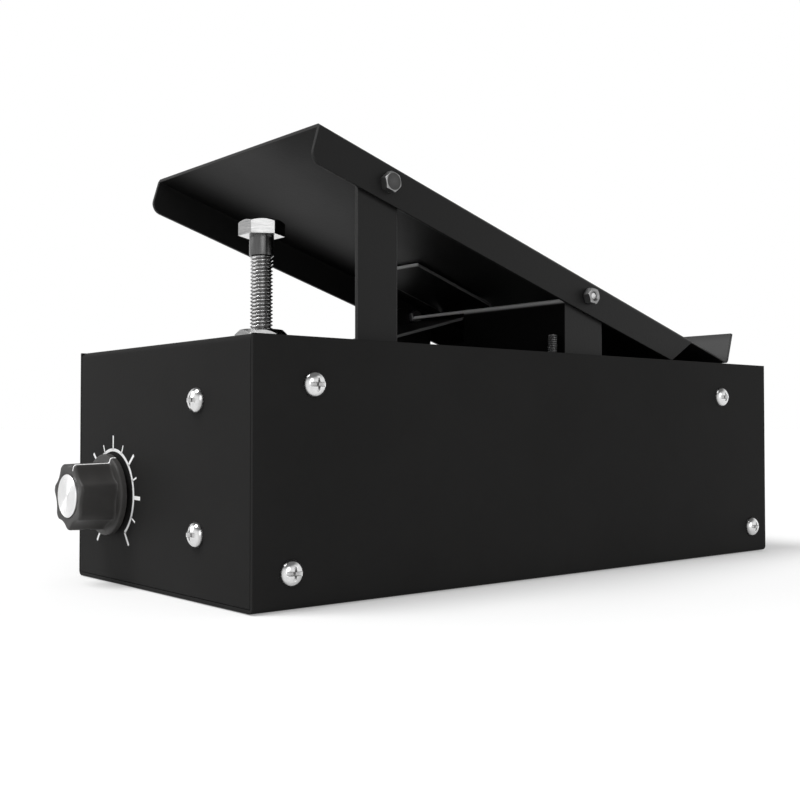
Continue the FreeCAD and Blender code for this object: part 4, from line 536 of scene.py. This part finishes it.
# A row is a screw's place on its face and its slot's turn
side_rows = [(-109.95, 65.8, 90), (-118.15, 10.8, 86), (98.55, 65.8, 92), (120.35, 10.8, 84)]
side_spots = [((side * SIDE_X, along, height), (side, 0, 0), spin)
              for side in (1, -1) for along, height, spin in side_rows]
pan_screws("side_pan_screws", "side_screws", side_spots, 8.0)
front_rows = [(25.9, 20.4, 3), (25.9, 61.4, -2)]
front_spots = [((across, FACE_Y, height), TOE, spin) for across, height, spin in front_rows]
pan_screws("front_pan_screws", "front_screws", front_spots, 9.0)
bracket_rows = [(-41.75, 17.668, 20), (-41.75, 26.168, 65), (41.75, 17.668, 110), (41.75, 26.168, 35)]
bracket_spots = [((across, along, BRACKET_TOP), UP, spin) for across, along, spin in bracket_rows]
pan_screws("bracket_pan_screws", "bracket_screws", bracket_spots, 8.0)
spring_rows = [(-27.875, -63.5, 12), (-12.625, -63.5, 78)]
spring_spots = [((across, along, LEAF_TOP), UP, spin) for across, along, spin in spring_rows]
pan_screws("spring_pan_screws", "spring_screws", spring_spots, 8.0)


# Leaf spring

LEAF_SLOPE, LEAF_RISE = 14.644, 18.0
LEAF_MIDDLE, LEAF_HALF, LEAF_SKIN = -20.25, 15.25, 0.55
LEAF_EDGE, LEAF_BESIDE = 0.08, 0.6
LEAF_TOE, LEAF_FOOT = -70.0, 80.55
BEND_Y, BEND_RADIUS = -56.214, 4.0
FOLD_Y, FOLD_Z, FOLD_RADIUS = 24.51, 103.163, 1.6
LEAF_END_Y, LEAF_END_Z = -14.94, 117.663


def folded_leaf():
    """A strip bent along a path in length and height: foot, bend, lower leaf at the slope, fold, upper leaf
    at the rise. A bend's points are its centre plus its radius times the sine along and less its radius
    times the cosine up. At each station a rectangle with small round corners stands square to the path's
    direction; its first and last are drawn in to a point, which closes the ends. Stations a little beside
    the bends, and points a little beside the corners, keep the flats flat. The bared-edge value is one from
    those points to the corner, where the sheared edge shows."""
    bend = np.radians(np.linspace(0.0, LEAF_SLOPE, 5))
    fold = np.radians(np.linspace(LEAF_SLOPE, 180.0 - LEAF_RISE, 15))
    ways = np.concatenate([[0.0, 0.0, 0.0], bend, bend[-1:], fold[:1], fold, fold[-1:].repeat(3)])
    along = np.concatenate([[LEAF_TOE, LEAF_TOE, BEND_Y], BEND_RADIUS * np.sin(bend) + BEND_Y, [0.0, 0.0],
                            FOLD_RADIUS * np.sin(fold) + FOLD_Y, [0.0, LEAF_END_Y, LEAF_END_Y]])
    height = np.concatenate([[LEAF_FOOT] * 3, LEAF_FOOT + BEND_RADIUS - BEND_RADIUS * np.cos(bend),
                             [0.0, 0.0], FOLD_Z - FOLD_RADIUS * np.cos(fold), [0.0] + [LEAF_END_Z] * 2])
    for station, beside, step in ((2, 3, -1), (8, 7, 1), (9, 10, -1), (25, 24, 1)):
        along[station] = along[beside] + step * LEAF_BESIDE * np.cos(ways[beside])
        height[station] = height[beside] + step * LEAF_BESIDE * np.sin(ways[beside])
    turn = np.radians(np.arange(0, 360, 30) + 15.0)
    corner = np.repeat([[1, 1], [-1, 1], [-1, -1], [1, -1]], 3, axis=0)
    wide = corner[:, 0] * (LEAF_HALF - LEAF_EDGE) + LEAF_EDGE * np.cos(turn)
    thick = corner[:, 1] * (LEAF_SKIN - LEAF_EDGE) + LEAF_EDGE * np.sin(turn)
    near = LEAF_HALF - LEAF_BESIDE
    wide = np.insert(wide, [3, 3, 9, 9], [near, -near, -near, near])
    thick = np.insert(thick, [3, 3, 9, 9], [LEAF_SKIN, LEAF_SKIN, -LEAF_SKIN, -LEAF_SKIN])
    bare_edge_and_painted_highlight = (abs(wide) > near).astype(float)
    wide, thick, bare_edge_and_painted_highlight = (np.append(values, values[0]) for values in (wide, thick, bare_edge_and_painted_highlight))
    shown = column(np.r_[0.0, np.ones(len(ways) - 2), 0.0])
    across = LEAF_MIDDLE + shown * wide
    aside = shown * thick
    return np.stack([across, column(along) - aside * np.sin(column(ways)),
                     column(height) + aside * np.cos(column(ways)), shown * bare_edge_and_painted_highlight], axis=-1)


leaf = make_piece("folded_leaf", [(folded_leaf(), leaf_coat)], "housing", ["return_spring"])
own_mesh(leaf)


# Stop bolt with its lock nut

BOLT_Y, BOLT_TOP, BOLT_HEAD = -91.1, 124.87, 5.3
bolt_at = (0, BOLT_Y, BOLT_TOP - BOLT_HEAD)
bolt_head = hexagonal(14.0, 0.0, BOLT_HEAD, rim=0.4, slope=0.62)
# Painted reflection: a thin plate over the head's under face in a paler zinc, for the floor's reflection
bolt_under_face_painted_bright = hexagonal(13.96, -0.04, 0.3, rim=0.4, slope=0.0)
bolt_neck = lathe([(0, 0.3), (4.3, 0.3), (4.3, -6.0), (4.2, -6.9), (3.7, -7.4), (0, -7.4)])
bolt_thread = thread(4.0, 1.25, -60.0, -6.9)
make_piece("threaded_stop_bolt", [(set_down(bolt_head, bolt_at), brushed_zinc),
                                  (set_down(bolt_under_face_painted_bright, bolt_at), under_zinc),
                                  (set_down(bolt_neck, bolt_at), shank_zinc),
                                  (set_down(bolt_thread, bolt_at), thread_zinc)],
           "stop", ["stop_bolt"])
lock_nut = hexagonal(16.0, 0.0, 6.8, bore=4.06, rim=0.4, slope=1.05, lead=0.5)
make_piece("stop_lock_nut", [(set_down(lock_nut, (0, BOLT_Y, TOP_Z)), nut_zinc)],
           "housing", ["stop_nut"])


# Pivot bolts and nuts

REAR_Y, REAR_Z = 21.168, 102.435
FRONT_Y, FRONT_Z = -76.465, 131.615
front_head = hexagonal(6.0, 0.0, 2.8, rim=0.22, slope=0.62, face=0.95)
front_head[-1, :, 3] = 0.8    # the middle of its face is painted a little less dark
front_nut = hexagonal(6.0, 0.0, 3.2, bore=1.81, rim=0.2, slope=0.6, under=True, lead=0.3)
rear_head = hexagonal(5.5, 0.0, 2.0, rim=0.15, slope=0.6)
rear_nut = hexagonal(5.5, 0.0, 3.2, bore=1.56, rim=0.15, slope=0.6, under=True, lead=0.45)
front_at = (51.5, FRONT_Y, FRONT_Z)
make_piece("front_hex_bolt", [(set_down(front_head, front_at, NEAR_SIDE, 12), pivot_nickel),
                              (set_down(thread(1.75, 0.6, -7.1, 0.3, around=24), front_at, NEAR_SIDE),
                               thread_zinc)],
           "tray", ["front_pivot_bolt"])
make_piece("front_hex_nut", [(set_down(front_nut, (48.6, FRONT_Y, FRONT_Z), FAR_SIDE), pivot_nickel)],
           "tray", ["front_pivot_nut"])
rear_bolts, rear_nuts = [], []
for side in (1, -1):
    head_at = (side * 48.5, REAR_Y, REAR_Z)
    inward = (-side, 0, 0)
    rear_bolts.append((set_down(rear_head, head_at, inward, 8), pivot_nickel))
    rear_bolts.append((set_down(thread(1.5, 0.5, -5.8, 0.3, around=28), head_at, inward), under_zinc))
    rear_nuts.append((set_down(rear_nut, (side * 51.7, REAR_Y, REAR_Z), (side, 0, 0), 20), pivot_nickel))
make_piece("rear_hex_bolts", rear_bolts, "housing", ["rear_pivot_bolts"])
make_piece("rear_hex_nuts", rear_nuts, "housing", ["rear_pivot_nuts"])
rest_stud = thread(2.0, 0.7, 51.395, 87.6, around=28)
make_piece("rest_stop_stud", [(set_down(rest_stud, (46.3, 7.198, 0.0)), stud_zinc)],
           "housing", ["rest_stop_screw"])


# Knob with its pointer, cap and set-screw hole

DIAL_X, DIAL_Z = -30.8, 30.2
dial_at = (DIAL_X, FACE_Y, DIAL_Z)
RIDGE_AT = math.radians(90.0 - 24.0)
FLUTES = 7
KNOB_BORE, KNOB_BACK, KNOB_FACE = 3.02, 1.5, 16.2
SKIRT_RADIUS, SKIRT_ROUND = 13.8, 0.7
CAP_SEAT, CAP_RADIUS, CAP_ROUND = 7.3, 7.25, 0.3
HOLE_AT, HOLE_HEIGHT, HOLE_RADIUS, HOLE_DEPTH = math.radians(270.0), 9.95, 1.55, 2.6
POINTER_HALF, POINTER_END = 0.25, 9.2


def flute_reach(angles):
    """Radius of the fluted body: the near side of the nearest flute's circle, and the outer circle between
    two flutes, joined by a soft minimum so that each ridge has rounded shoulders."""
    outer, circle, away = 11.5, 9.0, 19.0
    sector = TURN / FLUTES
    turn = np.mod(angles - RIDGE_AT, sector) - sector / 2
    dip = away * np.cos(turn) - np.sqrt(circle ** 2 - (away * np.sin(turn)) ** 2)
    soft = 0.3
    return -soft * np.logaddexp(-dip / soft, -outer / soft)


def knob_rows(angles):
    """Radius and height of the knob's surface, row by row, from the hollow at its back over the skirt, up the
    fluted body, which draws in by 0.35 from the skirt to the face, and over the face to the cap's seat."""
    level = np.ones_like(angles)
    reach = flute_reach(angles)
    rows = [(KNOB_BORE * level, 5.4), (6.97 * level, 5.4), (6.97 * level, KNOB_BACK)]
    rows += [((SKIRT_RADIUS - 0.2) * level, KNOB_BACK), (SKIRT_RADIUS * level, KNOB_BACK + 0.2),
             (SKIRT_RADIUS * level, 3.0)]
    bend = np.linspace(0.25, 1.0, 4) * TURN / 4
    rows += [((SKIRT_RADIUS - SKIRT_ROUND * (1 - math.cos(a))) * level, 3.0 + SKIRT_ROUND * math.sin(a))
             for a in bend]
    rows += [(reach + 0.8, 3.7), (reach + 0.48, 3.85), (reach + 0.34, 4.2)]
    rows += [(reach + 0.35 * (15.0 - height) / 11, height) for height in np.linspace(4.8, 15.0, 35)]
    rim = np.linspace(0, 1, 8) * TURN / 4
    rows += [(reach - 0.9 * (1 - math.cos(a)), KNOB_FACE - 0.9 * (1 - math.sin(a))) for a in rim]
    rows += [((reach - 0.9) * 0.6 + 7.5 * 0.4, KNOB_FACE), (7.5 * level, 16.1), (CAP_SEAT * level, 15.95)]
    rows += [(CAP_SEAT * level, 15.2), (KNOB_BORE * level, 15.2), (KNOB_BORE * level, 5.4)]
    radius = np.array([row[0] for row in rows])
    height = np.array([np.broadcast_to(row[1], angles.shape) for row in rows])
    return radius, height


def knob_surface():
    """The knob, with a round hole sunk into the ridge at six o'clock for its set screw: near that hole's axis
    the radius drops by the hole's depth over a narrow wall."""
    fine = HOLE_AT + np.linspace(-0.19, 0.19, 33)
    angles = np.unique(np.concatenate([round_angles(252), fine]))
    radius, height = knob_rows(angles)
    aside, above = angles - HOLE_AT, height - HOLE_HEIGHT
    away = np.hypot(radius * np.sin(aside), above)
    sunk = np.clip((HOLE_RADIUS - away) / 0.25 + 0.5, 0.0, 1.0)
    sunk = sunk * (radius > 9.0) * (abs(above) < 2.5) * (np.cos(aside) > 0.9)
    return turned(radius - HOLE_DEPTH * sunk, height, angles)


def pointer_strip():
    """A thin printed line at the ridge's angle, from the skirt's rim up the ridge and in over the face: the
    knob's own profile with 0.035 added, half the line's width to each side, closed by a copy sunk below
    it."""
    radius, height = (rows[4:-5, 0] for rows in knob_rows(np.array([RIDGE_AT])))
    radius, height = np.append(radius, POINTER_END), np.append(height, KNOB_FACE)
    slope_r, slope_h = np.gradient(radius), np.gradient(height)
    length = np.hypot(slope_r, slope_h)
    out_r, out_h = slope_h / length, -slope_r / length
    layers = []
    for lift, order in ((0.035, 1), (-0.06, -1)):
        side = np.array([-1.0, 0.0, 1.0])[::order] * POINTER_HALF
        layer = column(radius + out_r * lift), side[None, :], column(height + out_h * lift)
        layers.append(np.stack(np.broadcast_arrays(*layer), axis=-1))
    ring = np.concatenate([layers[0], layers[1], layers[0][:, :1]], axis=1)
    ends = [np.broadcast_to(ring[at].mean(axis=0), ring[at].shape)[None] for at in (0, -1)]
    ring = np.concatenate([ends[0], ring, ends[1]])
    cosine, sine = math.cos(RIDGE_AT), math.sin(RIDGE_AT)
    x = ring[..., 0] * cosine - ring[..., 1] * sine
    y = ring[..., 0] * sine + ring[..., 1] * cosine
    return np.stack([x, y, ring[..., 2], np.zeros_like(x)], axis=-1)


make_piece("fluted_knob", [(set_down(knob_surface(), dial_at, TOE), knob_plastic)],
           "dial", ["knob"], sharp=40.0)
make_piece("knob_pointer", [(set_down(pointer_strip(), dial_at, TOE), scale_ink)],
           "dial", sharp=60.0)
cap_metal = turned_metal("cap_metal", 0.94, dial_at, 0.24)
cap_steps = np.linspace(0, 1, 9)
cap_profile = [(0, 15.22), (CAP_RADIUS, 15.22), (CAP_RADIUS, 16.4)]
cap_profile += [(CAP_RADIUS - CAP_ROUND * (1 - math.cos(a)), 16.4 + CAP_ROUND * math.sin(a))
                for a in cap_steps * TURN / 4]
cap_profile += [((CAP_RADIUS - CAP_ROUND) * (1 - share), 16.7 - 0.10 * share * (2 - share))
                for share in cap_steps[1:]]
make_piece("turned_cap", [(set_down(lathe(cap_profile, 96), dial_at, TOE), cap_metal)],
           "dial", ["knob_cap"])


# Printed scale on the toe face

SCALE_RADIUS, SCALE_WIDTH, SCALE_SPAN = 15.3, 1.05, 144
INK_SKIN = 0.03
SCALE_DROP = 0.1


def flat_print(corners):
    """A thin closed slab over a strip of the toe face: rows of two points each, proud of the face by the
    ink's skin and sunk into it by as much. Points are given as X and Z from the scale's centre."""
    corners = np.asarray(corners, float)
    proud = np.stack([corners[..., 0], np.full(corners.shape[:2], -INK_SKIN), corners[..., 1]], axis=-1)
    sunk = proud + np.array([0.0, 2 * INK_SKIN, 0.0])
    ring = np.stack([proud[:, 0], proud[:, 1], sunk[:, 1], sunk[:, 0], proud[:, 0]], axis=1)
    ends = [np.broadcast_to(ring[at, :4].mean(axis=0), ring[at].shape)[None] for at in (0, -1)]
    ring = np.concatenate([ends[0], ring, ends[1]])
    ring = ring + np.array([DIAL_X, FACE_Y, DIAL_Z - SCALE_DROP])
    return np.concatenate([ring, np.zeros(ring.shape[:2] + (1,))], axis=-1)


def scale_arc(reach, width, first, last):
    """A band between two radii about the dial's axis; angles run clockwise from twelve o'clock."""
    angles = np.radians(np.linspace(first, last, 121))
    radii = reach + np.array([-width / 2, width / 2])
    return np.stack([radii * np.sin(angles)[:, None], radii * np.cos(angles)[:, None]], axis=-1)


def scale_tick(angle, start, length, width):
    """A bar that points away from the dial's axis."""
    angle = math.radians(angle)
    along = np.array([math.sin(angle), math.cos(angle)])
    side = np.array([math.cos(angle), -math.sin(angle)]) * width / 2
    reaches = column([start, start + length])[..., None]
    return reaches * along + np.stack([-side, side])[None]


prints = [(flat_print(scale_arc(SCALE_RADIUS, SCALE_WIDTH, -SCALE_SPAN, SCALE_SPAN)), scale_ink)]
tick_rows = [(0, 15.3, 20.2, 0.8), (24, 15.3, 18.4, 0.6), (48, 15.3, 20.6, 1.0), (70, 15.3, 18.4, 0.6),
             (91.5, 15.7, 20.0, 1.3), (117.5, 15.3, 18.5, 0.6), (SCALE_SPAN, 15.3, 20.4, 1.0)]
for bearing, near, far, width in tick_rows:
    for side in (1, -1) if bearing else (1,):
        prints.append((flat_print(scale_tick(side * bearing, near, far - near, width)), scale_ink))
make_piece("dial_scale", prints, "housing")


# Cable gland

GLAND_BORE, GLAND_THREAD, GLAND_PITCH = 4.5, 7.0, 1.5
GLAND_WALL, GLAND_RIB, GLAND_RIBS = 9.2, 0.45, 24
GLAND_CAP_BORE, GLAND_MOUTH = 7.06, 4.1


def gland_cap_surface():
    """The gland's cap: ribs, whose height goes as the sine to the power 0.7, round a wall, a quarter-ellipse
    dome, and the mouth's bore."""
    angles = round_angles(288)
    level = np.ones_like(angles)
    ribs = GLAND_RIB * np.abs(np.sin(angles * GLAND_RIBS / 2)) ** 0.7
    wall = GLAND_WALL - GLAND_RIB + ribs
    rows = [(GLAND_CAP_BORE * level, 5.3), (wall - 0.3, 5.3), (wall, 5.6), (wall, 8.3), (wall, 11.0)]
    dome = np.linspace(0.1, 1, 9) * TURN / 4
    rows += [(5.3 + (wall - 5.3) * math.cos(a), 11.0 + 3.0 * math.sin(a)) for a in dome]
    rows += [((GLAND_MOUTH + 0.3) * level, 14.0), (GLAND_MOUTH * level, 13.7), (GLAND_MOUTH * level, 11.6),
             (GLAND_CAP_BORE * level, 11.6), (GLAND_CAP_BORE * level, 5.3)]
    radius = np.array([row[0] for row in rows])
    height = column([row[1] for row in rows])
    return turned(radius, height, angles)


gland_at = (0, -FACE_Y, 24.0)
gland_skins = [hexagonal(19.0, 0.0, 5.0, bore=GLAND_BORE, rim=0.5, slope=0.5, under=True)]
for low, high in ((-9.2, 0.2), (4.8, 11.0)):
    gland_skins.append(thread(GLAND_THREAD, GLAND_PITCH, low, high, bore=GLAND_BORE))
make_piece("gland_threaded_body", [(set_down(grid, gland_at, HEEL), gland_plastic) for grid in gland_skins],
           "housing", ["gland_body"])
make_piece("gland_ribbed_cap", [(set_down(gland_cap_surface(), gland_at, HEEL), gland_plastic)],
           "housing", ["gland_cap"], sharp=40.0)


# CAD nodes that keep their own shape

node_finishes = {
    box_coat: ["base_shell", "top_cover"],
    tray_coat: ["pedal_tray"],
    strap_coat: ["push_leg"],
    bracket_coat: ["rear_bracket"],
    bare_steel: ["dial_shaft", "pedal_potentiometer_shaft", "lever_spacer", "link_pin", "link_clip",
                 "knob_set_screw"],
    hidden_zinc: ["lid_nuts", "stop_weld_nut", "floor_studs", "floor_nuts", "lever_pivot_bolt",
                  "lever_pivot_nut", "sector_lever", "mechanism_bracket", "microswitch_screws",
                  "pedal_potentiometer_nut", "dial_potentiometer_nut"],
    brass: ["pinion", "switch_leaf"],
    gland_plastic: ["gland_lock_nut"],
    strip_plastic: ["terminal_strip"],
    switch_plastic: ["microswitch", "switch_plunger"],
    phenolic: ["pedal_potentiometer", "dial_potentiometer"],
    seal_rubber: ["gland_seal"],
}
for finish, names in node_finishes.items():
    for name in names:
        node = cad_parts[name]
        if not node.data.materials:
            node.data.materials.append(finish)
        for slot in node.material_slots:
            slot.material = finish


# Studio, in metres: a white floor that keeps the shadow, a white surround, and a soft key from above with
# three weaker lamps round it

FLOOR_REACH, FLOOR_LEVEL = 30.0, -0.0003
floor_mesh = bpy.data.meshes.new("floor")
floor_corners = [(across * FLOOR_REACH, along * FLOOR_REACH, FLOOR_LEVEL)
                 for across, along in ((-1, -1), (1, -1), (1, 1), (-1, 1))]
floor_mesh.from_pydata(floor_corners, [], [(0, 1, 2, 3)])
floor = bpy.data.objects.new("floor", floor_mesh)
bpy.context.scene.collection.objects.link(floor)


def seen_directly(finish):
    """One for camera, glossy and transmission rays, zero for the rest."""
    paths = finish.add("ShaderNodeLightPath", out="Is Camera Ray")
    node = paths.socket.node
    glossy, through = (Tie(finish, node.outputs[name]) for name in ("Is Glossy Ray", "Is Transmission Ray"))
    return (paths + glossy + through).limited(1.0)


paper = Finish("floor_paper")
fibre = paper.noise(paper.place(), 900.0)
glow = paper.blend(seen_directly(paper), (0, 0, 0), grey(0.31))
pulp = paper.blend(fibre, grey(0.65), grey(0.67))
floor_mesh.materials.append(paper.surface(Base_Color=pulp, Roughness=0.9, Specular_IOR_Level=0.0,
                                          Emission_Color=glow, Emission_Strength=1.0))

# The surround lights the object evenly at the first strength. Camera and mirror rays meet it at the second,
# which is white, and high overhead, where a studio has its ceiling, at the third.
EVEN_LIGHT, WHITE, CEILING = 0.45, 1.0, 0.20
surround = Finish("white_surround", "worlds")
bpy.context.scene.world = surround.material
climb = surround.coordinate(surround.add("ShaderNodeTexCoord", out="Generated"), "Z")
overhead = (climb - 0.42).limited(3.0)
strength = EVEN_LIGHT + seen_directly(surround) * ((WHITE - EVEN_LIGHT) - (WHITE - CEILING) * overhead)
backdrop = surround.add("ShaderNodeBackground", {}, {"Color": (1, 1, 1, 1), "Strength": strength})
surround.add("ShaderNodeOutputWorld", {}, {"Surface": backdrop})

# Each lamp's strength, spread in degrees and the way to it
lamps = {"key": (2.0, 26, (-0.17, -0.44, 0.88)), "toe": (0.55, 34, (-0.60, -0.67, 0.43)),
         "side": (0.36, 34, (0.86, -0.28, 0.42)), "low": (0.20, 26, (0.88, -0.44, 0.17))}
for name, (energy, spread, direction) in lamps.items():
    sun = bpy.data.lights.new(name, "SUN")
    sun.energy = energy
    sun.angle = math.radians(spread)
    lamp = bpy.data.objects.new(name, sun)
    lamp.rotation_euler = Vector(direction).to_track_quat("Z", "Y").to_euler()
    bpy.context.scene.collection.objects.link(lamp)

# The photograph's view, solved from the box's edges
camera = bpy.data.cameras.new("camera")
camera.lens = 50.0
camera.sensor_width = 36.0
camera.clip_start = 0.01
camera_object = bpy.data.objects.new("camera", camera)
camera_object.location = (0.3249, -0.3028, 0.0528)
camera_object.rotation_euler = (math.radians(91.46), 0.0, math.radians(49.79))
bpy.context.scene.collection.objects.link(camera_object)
bpy.context.scene.camera = camera_object

bpy.context.scene.view_settings.view_transform = "Standard"
